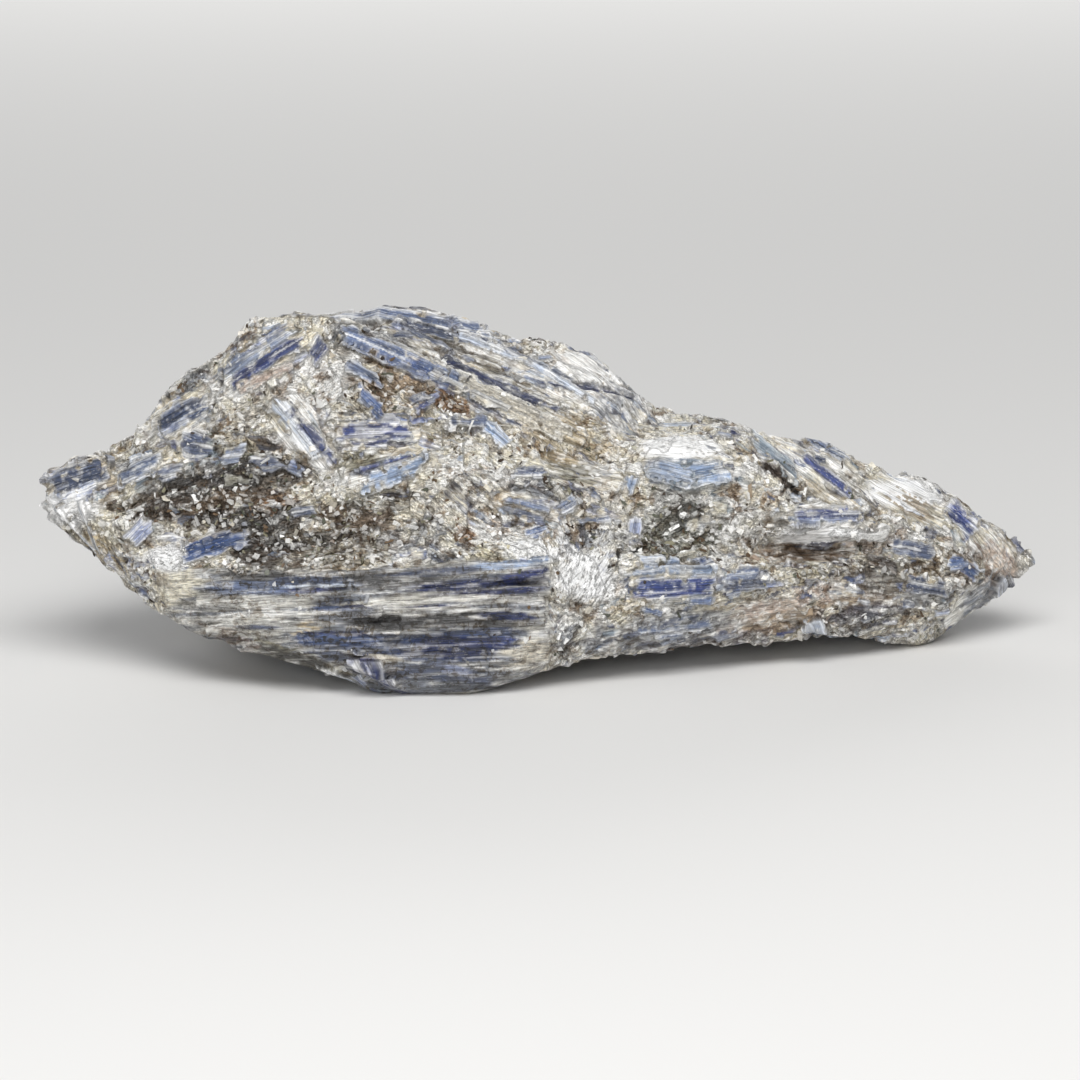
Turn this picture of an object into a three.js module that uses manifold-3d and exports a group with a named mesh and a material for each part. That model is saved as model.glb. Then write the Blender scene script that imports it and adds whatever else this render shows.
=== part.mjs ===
// A rough kyanite blade cluster: blue kyanite laths grown together with quartz, feldspar and mica
// into one block. Millimetres. +X runs to the narrow end, +Y to the back and +Z up, and the origin
// lies under the middle of the block, on the surface that it rests on.
import * as THREE from "three";
import { mergeVertices } from "three/addons/utils/BufferGeometryUtils.js";
import Module from "manifold-3d";

const wasm = await Module();
wasm.setup();

// ---- Driving dimensions ----
const LENGTH = 200;
const DEPTH = 75;
const SIGHT_TILT = THREE.MathUtils.degToRad(14); // the front is drawn looking down by this much
const FOOT_Y = -33.5; // where the front foot rests: a rise of 0 in the drawing
const STATIONS = 72; // sections along the block
const STEPS_PER_RAIL = 3; // points round each section, for each rail
const CHIP = 1.1; // how far a fractured face stands in or out
const CHIP_SIZE = 11; // how wide a fractured face is
const BACK_CHIP = 2; // the same for the back and the underside, which broke more coarsely
const FOOT_TRIM = 0.35; // ground off each foot, so that it has a flat to rest on
const BLADE_THICKNESS = 3.4;

// ---- The block's rails, from the front foot up over the top and down the back ----
// The front ones hold [x, y, rise], where rise is the height in the tilted front drawing.
const FRONT_RAILS = {
  keel: [
    [-99, -2, 36], [-90, -8, 28.5], [-80, -14, 20], [-70, -20, 13.7], [-60, -25, 8.7],
    [-45, -30, 4.2], [-31, -33.5, 0.2], [-14, -33.5, 0], [-8, -32, 2.5], [0, -29.5, 5],
    [25, -19, 7.5], [45, -12, 10], [62, -4.5, 11.3], [71, 1, 10.8], [77, 4.5, 9], [84, 6.5, 12.8],
    [90, 9.5, 16], [95, 12.5, 20.5], [99.6, 16, 25],
  ],
  belly: [
    [-99, -4, 38], [-90, -13, 33], [-80, -19.5, 25], [-70, -26, 19], [-58, -32, 14.5],
    [-42, -36.5, 11], [-25, -37.5, 9.5], [-10, -36, 10.5], [3, -32, 12.5], [25, -23.5, 14.5],
    [45, -16, 16.5], [68, -6, 16.5], [80, 0.5, 16], [90, 6.5, 19.5], [99.6, 15, 26],
  ],
  ledge: [
    [-99, -4.5, 41], [-90, -13.5, 37], [-80, -20, 30], [-70, -26, 24.5], [-58, -31, 24.5],
    [-40, -35, 25], [-15, -35, 26], [-3, -32.5, 27.5], [12, -28, 26.5], [30, -22, 25.5],
    [48, -15, 25], [62, -9, 24.5], [80, -1, 23.5], [90, 5.5, 23], [99.7, 15.5, 27],
  ],
  hollow: [
    [-98.5, -3.5, 42.5], [-90, -12, 40.5], [-78, -17, 35], [-68, -21.5, 31], [-45, -27.5, 31],
    [-20, -30, 32], [0, -28, 33], [12, -24.5, 31], [26, -17.5, 30.5], [42, -12.5, 29.5],
    [50, -6.5, 28], [63, -4, 28.3], [72, -2.5, 29.5], [80, 1, 28], [90, 6.5, 27], [99.8, 16, 27.8],
  ],
  brow: [
    [-98, -3, 43], [-94, -6, 44.5], [-88, -9.5, 44.5], [-75, -15, 43.5], [-60, -20.5, 44],
    [-40, -24, 44], [-15, -26.5, 43], [0, -24.5, 43], [14, -20, 42], [22, -18, 42], [32, -17, 42.5],
    [42, -11.5, 38], [51, -9.5, 33.5], [63, -6, 33], [80, 3, 33.5], [90, 8.5, 30.5],
    [100, 16.5, 28],
  ],
  face: [
    [-97.5, -1.5, 44.2], [-94, -3, 45.8], [-88, -6, 46.3], [-80, -8.5, 49], [-70, -12, 53],
    [-60, -14.5, 58], [-50, -16.5, 60.5], [-40, -18.5, 58], [-25, -19, 54.5], [-10, -19.5, 50],
    [2, -18, 47], [14, -15.5, 46], [22, -13.5, 48], [31, -12.5, 49.5], [42, -6, 47.5],
    [62, 0.5, 40.5], [80, 8, 38], [90, 12, 33.5], [100, 17, 28.3],
  ],
  crest: [
    [-97, 0, 44.7], [-94, -0.5, 46.6], [-84, -2, 47.6], [-81, -3, 52.5], [-76, -4, 56.5],
    [-72, -5, 62.5], [-65, -6.5, 67], [-58, -8, 75.3], [-50, -8.5, 76], [-41, -8, 75.5],
    [-30, -9.5, 69.3], [-10, -11.5, 59.5], [0, -13, 53.5], [9, -13, 49], [16, -9.5, 49.5],
    [24, -6.5, 51.5], [34, -3, 53], [42, 1, 52.5], [62, 6.5, 46], [80, 12, 40.5], [88, 13.5, 36],
    [100, 17.5, 28.5],
  ],
  saddle: [
    [-97, 2, 44.6], [-94, 1.8, 46.6], [-84, 1, 48], [-80, 1, 53], [-72, 0, 61.5], [-65, -0.5, 66],
    [-58, -1, 72.5], [-42, 0, 74.5], [-30, -1, 71.5], [-10, -1.5, 65], [2, -1.5, 61.5], [12, -2, 57],
    [20, 0, 54.5], [42, 6, 53.8], [62, 10, 48], [80, 14, 41.8], [88, 15, 36.8], [100, 18, 28.5],
  ],
  backCrest: [
    [-97, 4, 44.6], [-94, 4.3, 46.4], [-84, 6, 47.2], [-72, 8, 58], [-58, 9.5, 70], [-50, 10, 73.5],
    [-42, 9, 77], [-34, 10, 77.4], [-20, 10.5, 75.2], [-7, 11, 73.2], [3, 11.5, 72.4],
    [10, 11.5, 70], [15, 11, 65.8], [19, 10, 61.2], [24, 8.5, 56.4], [31, 8, 56], [42, 9.5, 54.2],
    [52, 12, 51.8], [62, 13.5, 47.5], [72, 15, 44.4], [80, 16.5, 42], [86, 17, 39], [90, 17, 35.3],
    [95, 18, 32.7], [100, 18.5, 28.5],
  ],
};

// The back ones hold [x, y, z].
const BACK_RAILS = {
  shoulder: [
    [-97, 6, 37], [-85, 13, 40], [-70, 20, 47], [-52, 25, 56], [-34, 26.5, 56], [-12, 26, 52],
    [5, 24.5, 48], [20, 22.5, 40], [42, 22.5, 37], [60, 25, 31], [80, 25, 25], [92, 22, 18.5],
    [100, 19, 15.5],
  ],
  flank: [
    [-98, 5.5, 34], [-86, 17, 33], [-70, 27, 31], [-50, 34, 33], [-28, 37.5, 34], [-6, 36, 30],
    [14, 32.5, 27], [34, 31.5, 24], [52, 33.5, 21], [68, 33, 18.5], [82, 29.5, 16], [93, 23.5, 15],
    [100, 19, 14.5],
  ],
  haunch: [
    [-98.5, 4, 32.5], [-86, 15, 25], [-70, 24.5, 16.5], [-50, 32, 14], [-28, 35.5, 16],
    [-6, 33.5, 14.5], [14, 30, 13], [34, 29.5, 11.5], [52, 31, 10.5], [68, 30, 9.5],
    [82, 26.5, 9.5], [93, 22, 12.5], [100, 18.5, 14],
  ],
  heel: [
    [-99, 2, 30.4], [-86, 9, 22], [-70, 17, 11], [-58, 23, 3.5], [-50, 25, 0], [-42, 25, 0],
    [-34, 26, 3], [-12, 26, 6], [14, 23, 6.5], [40, 23.5, 4.5], [62, 24.5, 3], [72, 22, 2.5],
    [84, 21, 5.5], [94, 19.5, 11], [100, 18, 13.5],
  ],
  sole: [
    [-99, 0, 30], [-86, 0, 20.5], [-70, 0, 10], [-50, 0, 4.5], [-25, -6, 3.5], [0, -4, 5], [25, 3, 5.5],
    [50, 8, 4.5], [66, 11, 2.6], [77, 10, 0], [86, 13.5, 5.5], [94, 16, 10.5], [100, 17, 13.2],
  ],
};

// ---- The largest kyanite blades that stand out of the front ----
// [x, rise] at the middle in the front drawing, then the angle above +X in degrees, length and width.
const FRONT_BLADES = [
  // left knob
  [-93, 43, 20, 13, 5.5], [-92, 38, 24, 10, 3.2], [-78, 45, 25, 12, 4.5],
  // left shoulder
  [-70.5, 55, 32, 11, 6.5], [-71, 50.5, 27, 12, 2.6], [-70, 62.5, 40, 10, 5], [-80.5, 51.5, 60, 4.5, 3],
  // brow and upper face
  [-54.5, 67.3, 30, 19, 5.6], [-48, 54.5, -52, 15, 6.5], [-33, 52.2, 4, 15, 4.4], [-22.5, 57.5, 44, 8, 2.8],
  [-34, 58, -55, 7, 4], [-35, 63.5, -25, 6.5, 2.8], [-14.5, 53.8, -3, 10, 2.6], [-30.5, 44, 17, 15, 4.6],
  // the diagonal ridge
  [-30, 68.5, -25, 24, 4.6], [-7, 62.4, -25, 24, 3.4], [-3, 56, -25, 26, 4.2], [-29, 74, -13, 24, 5],
  // middle
  [-65, 30, 17, 12, 5.6], [-81, 32, 40, 7, 4],
  // right boulder and right face
  [26, 45, -14, 9, 5], [33.5, 44.8, 12, 10, 5], [26, 21.8, 2, 17, 6.5], [42, 22, 3, 9, 3.6],
  [57, 46.5, -42, 15, 3], [61.5, 45.5, -50, 9, 4.5], [47, 45.5, -35, 12, 3], [57, 36, 2, 17, 4.5],
  // right end
  [85.5, 24.5, -35, 7, 5.5], [78, 21.5, -10, 10, 4.6], [91, 34.8, -4, 4, 1.6], [98, 28.6, -52, 6, 2.6],
];

// The fan: long parallel blades across the lower front. Rows rise from the foot, and each holds
// [x at its left end, x at its right end, rise at the left end, rise at the right end, width].
const FAN_ROWS = [
  [-67, -38, 22.6, 23.2, 3.2], [-37, 1, 22.9, 25.4, 4.4], [-68, -34, 19.2, 19.6, 3],
  [-35, 2, 19.4, 21.2, 2.6], [-70, -30, 16.4, 17, 2.6], [-31, 1, 17.2, 18.2, 2.4],
  [-66, -27, 13.4, 14, 2.8], [-28, 1, 14.2, 15.4, 3], [-60, -46, 10.6, 11, 3], [-45, -5, 10.6, 10.4, 4.2],
  [-38, -10, 6.6, 6.4, 3.6],
];

/** A rail's y and height at x, straight between its points. */
function railAt(rail, x) {
  const last = rail.length - 1;
  if (x <= rail[0][0]) return rail[0].slice(1);
  if (x >= rail[last][0]) return rail[last].slice(1);
  const i = rail.findIndex((point) => point[0] > x);
  const share = (x - rail[i - 1][0]) / (rail[i][0] - rail[i - 1][0]);
  return [1, 2].map((k) => THREE.MathUtils.lerp(rail[i - 1][k], rail[i][k], share));
}

/** The height of a point of the front drawing, from its rise and its depth. */
function heightOf(rise, y) {
  return (rise - (y - FOOT_Y) * Math.sin(SIGHT_TILT)) / Math.cos(SIGHT_TILT);
}

/** A number from 0 to 1 that depends only on three whole numbers. */
function latticeValue(i, j, k) {
  const s = Math.sin(i * 127.1 + j * 311.7 + k * 74.7) * 43758.5453;
  return s - Math.floor(s);
}

/** Level of the fractured face that a point lies on, from -1 to 1: each face is one lattice cell. */
function fractureAt(point) {
  const [x, y, z] = [point.x * 0.7, point.y, point.z * 1.3].map((t) => t / CHIP_SIZE);
  const [i0, j0, k0] = [x, y, z].map(Math.floor);
  let nearest = Infinity;
  let level = 0;
  for (let i = i0 - 1; i <= i0 + 1; i++) {
    for (let j = j0 - 1; j <= j0 + 1; j++) {
      for (let k = k0 - 1; k <= k0 + 1; k++) {
        const seed = [latticeValue(i, j, k), latticeValue(j, k, i), latticeValue(k, i, j)];
        const away = Math.hypot(i + seed[0] - x, j + seed[1] - y, k + seed[2] - z);
        if (away >= nearest) continue;
        nearest = away;
        const lean = (x - i - seed[0]) * (seed[1] - 0.5) + (z - k - seed[2]) * (seed[2] - 0.5);
        level = 2 * latticeValue(i + 7, j, k) - 1 + lean;
      }
    }
  }
  return level;
}

/** The block's outline at one station: a closed curve through the rails. */
function sectionAt(x) {
  const front = Object.values(FRONT_RAILS).map((rail) => {
    const [y, rise] = railAt(rail, x);
    return new THREE.Vector3(x, y, heightOf(rise, y));
  });
  const back = Object.values(BACK_RAILS).map((rail) => new THREE.Vector3(x, ...railAt(rail, x)));
  const curve = new THREE.CatmullRomCurve3([...front, ...back], true, "catmullrom", 0.35);
  const count = STEPS_PER_RAIL * (front.length + back.length);
  return Array.from({ length: count }, (_, i) => curve.getPoint(i / count));
}

/** The block without its blades, as a closed mesh of quads between sections. */
function blockGeometry() {
  const ends = [-LENGTH / 2, LENGTH / 2];
  const rings = Array.from({ length: STATIONS }, (_, i) => {
    const share = i / (STATIONS - 1);
    const eased = share - Math.sin(2 * Math.PI * share) / (2 * Math.PI) * 0.55; // closer at the ends
    return sectionAt(THREE.MathUtils.lerp(ends[0] + 0.8, ends[1] - 0.5, eased));
  });
  const around = rings[0].length;
  const vertices = [];
  for (const ring of rings) {
    const middle = ring.reduce((sum, p) => sum.add(p), new THREE.Vector3()).divideScalar(around);
    for (const p of ring) {
      const out = p.clone().sub(middle).setX(0).normalize();
      const size = THREE.MathUtils.lerp(CHIP, BACK_CHIP, THREE.MathUtils.smoothstep(p.y - middle.y, 0, 12));
      const onFoot = THREE.MathUtils.smoothstep(p.z, 0, 3);
      vertices.push(p.clone().addScaledVector(out, size * fractureAt(p) * onFoot));
    }
  }
  const triangles = [];
  for (let s = 0; s + 1 < rings.length; s++) {
    for (let i = 0; i < around; i++) {
      const a = s * around + i;
      const b = s * around + ((i + 1) % around);
      triangles.push(a, a + around, b, b, a + around, b + around);
    }
  }
  for (const [s, flip] of [[0, 0], [rings.length - 1, 1]]) {
    const centre = rings[s].reduce((sum, p) => sum.add(p), new THREE.Vector3()).divideScalar(around);
    centre.x = ends[flip];
    vertices.push(centre);
    for (let i = 0; i < around; i++) {
      const rim = [s * around + i, s * around + ((i + 1) % around)];
      triangles.push(vertices.length - 1, ...(flip ? rim.reverse() : rim));
    }
  }
  const geometry = new THREE.BufferGeometry().setFromPoints(vertices);
  geometry.setIndex(triangles);
  return geometry;
}

/** A closed mesh as a manifold-3d solid. */
function solidOf(geometry) {
  const bare = geometry.clone();
  bare.deleteAttribute("normal");
  bare.deleteAttribute("uv");
  const merged = mergeVertices(bare, 1e-4);
  const solid = new wasm.Manifold(
    new wasm.Mesh({
      numProp: 3,
      vertProperties: merged.attributes.position.array,
      triVerts: new Uint32Array(merged.index.array),
    }),
  );
  return solid;
}

/** A lath with chisel ends, lying along X with its flat face up and its top face at z = 0. */
function lathGeometry(length, width, thickness) {
  const [l, w] = [length / 2, width / 2];
  const outline = new THREE.Shape([
    new THREE.Vector2(-l, -w * 0.35),
    new THREE.Vector2(-l + w * 0.5, -w),
    new THREE.Vector2(l - w * 0.2, -w * 0.9),
    new THREE.Vector2(l, w * 0.25),
    new THREE.Vector2(l - w * 0.45, w),
    new THREE.Vector2(-l + w * 0.3, w * 0.85),
  ]);
  const lath = new THREE.ExtrudeGeometry(outline, { depth: thickness, bevelEnabled: false });
  return lath.translate(0, 0, -thickness);
}

/** The point of the block seen at [x, rise] in the front drawing. */
function sighted(block, x, rise) {
  const sight = new THREE.Vector3(0, Math.cos(SIGHT_TILT), -Math.sin(SIGHT_TILT));
  const up = new THREE.Vector3(0, Math.sin(SIGHT_TILT), Math.cos(SIGHT_TILT));
  const start = new THREE.Vector3(x, FOOT_Y, 0).addScaledVector(up, rise).addScaledVector(sight, -LENGTH);
  const hit = new THREE.Raycaster(start, sight).intersectObject(block)[0];
  return hit ? { point: hit.point, normal: hit.face.normal } : null;
}

/** A blade laid on the block between two points of the front drawing, standing out by proud. */
function bladeGeometry(block, from, to, width, proud) {
  const ends = [from, to].map(([x, rise]) => sighted(block, x, rise)).filter(Boolean);
  if (ends.length < 2) return null;
  const along = ends[1].point.clone().sub(ends[0].point);
  const middle = sighted(block, (from[0] + to[0]) / 2, (from[1] + to[1]) / 2) ?? ends[0];
  const mean = ends[0].normal.clone().add(ends[1].normal).add(middle.normal);
  const out = mean.addScaledVector(along, -mean.dot(along) / along.lengthSq()).normalize();
  const across = out.clone().cross(along).normalize();
  const place = ends[0].point.clone().add(ends[1].point).multiplyScalar(0.5);
  const bulge = Math.max(0, middle.point.clone().sub(place).dot(out)); // the block's own curve
  place.addScaledVector(out, proud + 0.5 * bulge);
  const turn = new THREE.Matrix4().makeBasis(along.clone().normalize(), across, out).setPosition(place);
  return lathGeometry(along.length(), width, BLADE_THICKNESS).applyMatrix4(turn);
}

/** The block with its blades joined on and its feet ground flat. */
function clusterSolid() {
  const bare = blockGeometry();
  const block = new THREE.Mesh(bare, new THREE.MeshBasicMaterial({ side: THREE.DoubleSide }));
  bare.computeVertexNormals();
  const single = FRONT_BLADES.map(([x, rise, degrees, length, width]) => {
    const angle = THREE.MathUtils.degToRad(degrees);
    const reach = [(Math.cos(angle) * length) / 2, (Math.sin(angle) * length) / 2];
    const ends = [[x - reach[0], rise - reach[1]], [x + reach[0], rise + reach[1]]];
    return bladeGeometry(block, ...ends, width, 0.8);
  });
  const fan = FAN_ROWS.map(([x0, x1, rise0, rise1, width], i) =>
    bladeGeometry(block, [x0, rise0], [x1, rise1], width, 0.5 + 0.35 * (i % 3)),
  );
  let solid = solidOf(bare);
  for (const blade of [...single, ...fan].filter(Boolean)) solid = solid.add(solidOf(blade));
  const floor = new THREE.BoxGeometry(2 * LENGTH, 2 * LENGTH, 20).translate(0, 0, FOOT_TRIM - 10);
  const body = solid.subtract(solidOf(floor)).decompose();
  return body.reduce((most, piece) => (piece.volume() > most.volume() ? piece : most));
}

/** A solid as three.js geometry. */
function geometryOf(solid) {
  const mesh = solid.getMesh();
  const points = new Float32Array(mesh.numVert * 3);
  for (let i = 0; i < mesh.numVert; i++) {
    points.set(mesh.vertProperties.subarray(i * mesh.numProp, i * mesh.numProp + 3), i * 3);
  }
  const geometry = new THREE.BufferGeometry();
  geometry.setAttribute("position", new THREE.BufferAttribute(points, 3));
  geometry.setIndex(new THREE.BufferAttribute(mesh.triVerts, 1));
  return geometry;
}

const clusterGeometry = geometryOf(clusterSolid());
clusterGeometry.computeBoundingBox();
const { min, max } = clusterGeometry.boundingBox;
clusterGeometry.translate(-(min.x + max.x) / 2, -(min.y + max.y) / 2, -min.z);
clusterGeometry.computeVertexNormals();

const kyaniteRock = new THREE.MeshStandardMaterial({ color: "#9aa2ae", roughness: 0.62, metalness: 0 });
const cluster = new THREE.Mesh(clusterGeometry, kyaniteRock);
cluster.name = "kyanite_cluster";

const object = new THREE.Group();
object.add(cluster);

export default object;
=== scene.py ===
import math

import bmesh
import bpy
import numpy as np
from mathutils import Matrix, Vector
from mathutils.bvhtree import BVHTree


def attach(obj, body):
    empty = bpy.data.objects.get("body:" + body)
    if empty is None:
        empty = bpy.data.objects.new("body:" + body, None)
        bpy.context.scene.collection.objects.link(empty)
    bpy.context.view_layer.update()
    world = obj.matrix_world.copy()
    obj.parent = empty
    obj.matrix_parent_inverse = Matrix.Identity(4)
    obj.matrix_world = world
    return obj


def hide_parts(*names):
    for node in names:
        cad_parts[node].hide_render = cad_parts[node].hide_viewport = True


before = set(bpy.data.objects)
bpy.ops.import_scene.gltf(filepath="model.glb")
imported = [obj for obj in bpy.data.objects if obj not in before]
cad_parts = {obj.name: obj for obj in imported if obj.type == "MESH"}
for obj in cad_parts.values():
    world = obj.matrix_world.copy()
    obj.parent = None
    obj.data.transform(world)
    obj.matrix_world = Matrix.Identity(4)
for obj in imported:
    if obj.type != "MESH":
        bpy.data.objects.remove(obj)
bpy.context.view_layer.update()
mm = 0.001
rng = np.random.default_rng(417)

# The front of the stone is laid out on a drawing: u runs right and v up in millimetres,
# square to a line of sight that looks down at this angle. v is 0 at the front foot.
sightTilt = math.radians(14)
rightWay = np.array([1.0, 0.0, 0.0])
sight = np.array([0.0, math.cos(sightTilt), -math.sin(sightTilt)])
drawUp = np.array([0.0, math.sin(sightTilt), math.cos(sightTilt)])

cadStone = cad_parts["kyanite_cluster"]
cadMesh = bmesh.new()
cadMesh.from_mesh(cadStone.data)
bmesh.ops.remove_doubles(cadMesh, verts=cadMesh.verts, dist=1e-6)
cadPoints = np.array([vert.co for vert in cadMesh.verts]) / mm
cadFaces = [[vert.index for vert in face.verts] for face in cadMesh.faces]
cadTree = BVHTree.FromPolygons([Vector(p) for p in cadPoints], cadFaces)
footRise = (cadPoints @ drawUp).min()


def linear(hexColour):
    parts = [int(hexColour[i:i + 2], 16) / 255 for i in (1, 3, 5)]
    return np.array([p / 12.92 if p <= 0.04045 else ((p + 0.055) / 1.055) ** 2.4 for p in parts])


def smooth(values, low, high):
    share = np.clip((values - low) / (high - low), 0, 1)
    return share * share * (3 - 2 * share)


def unit(vectors):
    return vectors / np.maximum(np.linalg.norm(vectors, axis=-1, keepdims=True), 1e-9)


def hashed(i, j, k, seed):
    n = (i * 374761393 + j * 668265263 + k * 1440662683 + seed * 974711) & 0xFFFFFFFF
    n = ((n ^ (n >> 13)) * 1274126177) & 0xFFFFFFFF
    n = ((n ^ (n >> 15)) * 2246822519) & 0xFFFFFFFF
    return ((n ^ (n >> 16)) & 0xFFFFFF) / 0xFFFFFF


def softNoise(points, size, seed):
    cell = points / size
    base = np.floor(cell).astype(np.int64)
    f = cell - base
    f = f * f * (3 - 2 * f)
    total = 0
    for corner in np.ndindex(2, 2, 2):
        share = np.prod(np.where(corner, f, 1 - f), axis=1)
        total = total + share * hashed(*(base + corner).T, seed)
    return 2 * total - 1


# cells round scattered hearts: distance to the heart, gap to the next cell, the heart
# and four chances for each cell
def cellsOf(points, size, seed):
    cell = points / size
    base = np.floor(cell).astype(np.int64)
    first = np.full(len(points), 9.0)
    second = first.copy()
    nearest = np.zeros_like(cell)
    owner = np.zeros_like(base)
    for corner in np.ndindex(3, 3, 3):
        at = base + corner - 1
        heart = at + np.stack([hashed(*at.T, seed + n) for n in range(3)], axis=1)
        away = np.linalg.norm(heart - cell, axis=1)
        near = away < first
        second = np.where(near, first, np.minimum(second, away))
        first = np.where(near, away, first)
        nearest[near] = heart[near]
        owner[near] = at[near]
    chance = np.stack([hashed(*owner.T, seed + n) for n in (5, 6, 7, 8)], axis=1)
    return first, second - first, nearest * size, chance


# a flat face for each cell, stepped and leaning by chance
def facetOf(points, size, heart, chance, lean):
    return 2 * chance[:, 0] - 1 + lean * ((points - heart) / size * (chance[:, 1:] - 0.5)).sum(1)


def drawn(points):
    return np.stack([points[:, 0], points @ drawUp - footRise], axis=1)


# colours of the minerals and of the stains on them
stoneHex = {
    "navy": "#172450", "indigo": "#293362", "royal": "#33437f", "deep": "#2b426f", "mid": "#4b5d86",
    "slate": "#4a536b", "greyBlue": "#667390", "pale": "#8799b5", "lilac": "#969fbd",
    "teal": "#8493a0", "frost": "#c0c9d8", "snow": "#f5f4f1", "cream": "#e8e1cd", "bone": "#d3ccbd",
    "ash": "#a9a7a2", "blush": "#d0bdb0", "straw": "#bfae8e", "tan": "#a08c74", "rust": "#86684b",
    "brown": "#6b5844", "umber": "#43382f", "olive": "#8b8772", "moss": "#5d5f52",
    "coal": "#2b2927", "yolk": "#ddd5b8", "smoke": "#4b4a4a", "steel": "#80848c",
    "chalk": "#cfcdc6",
}
stoneColour = {name: linear(value) for name, value in stoneHex.items()}

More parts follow.
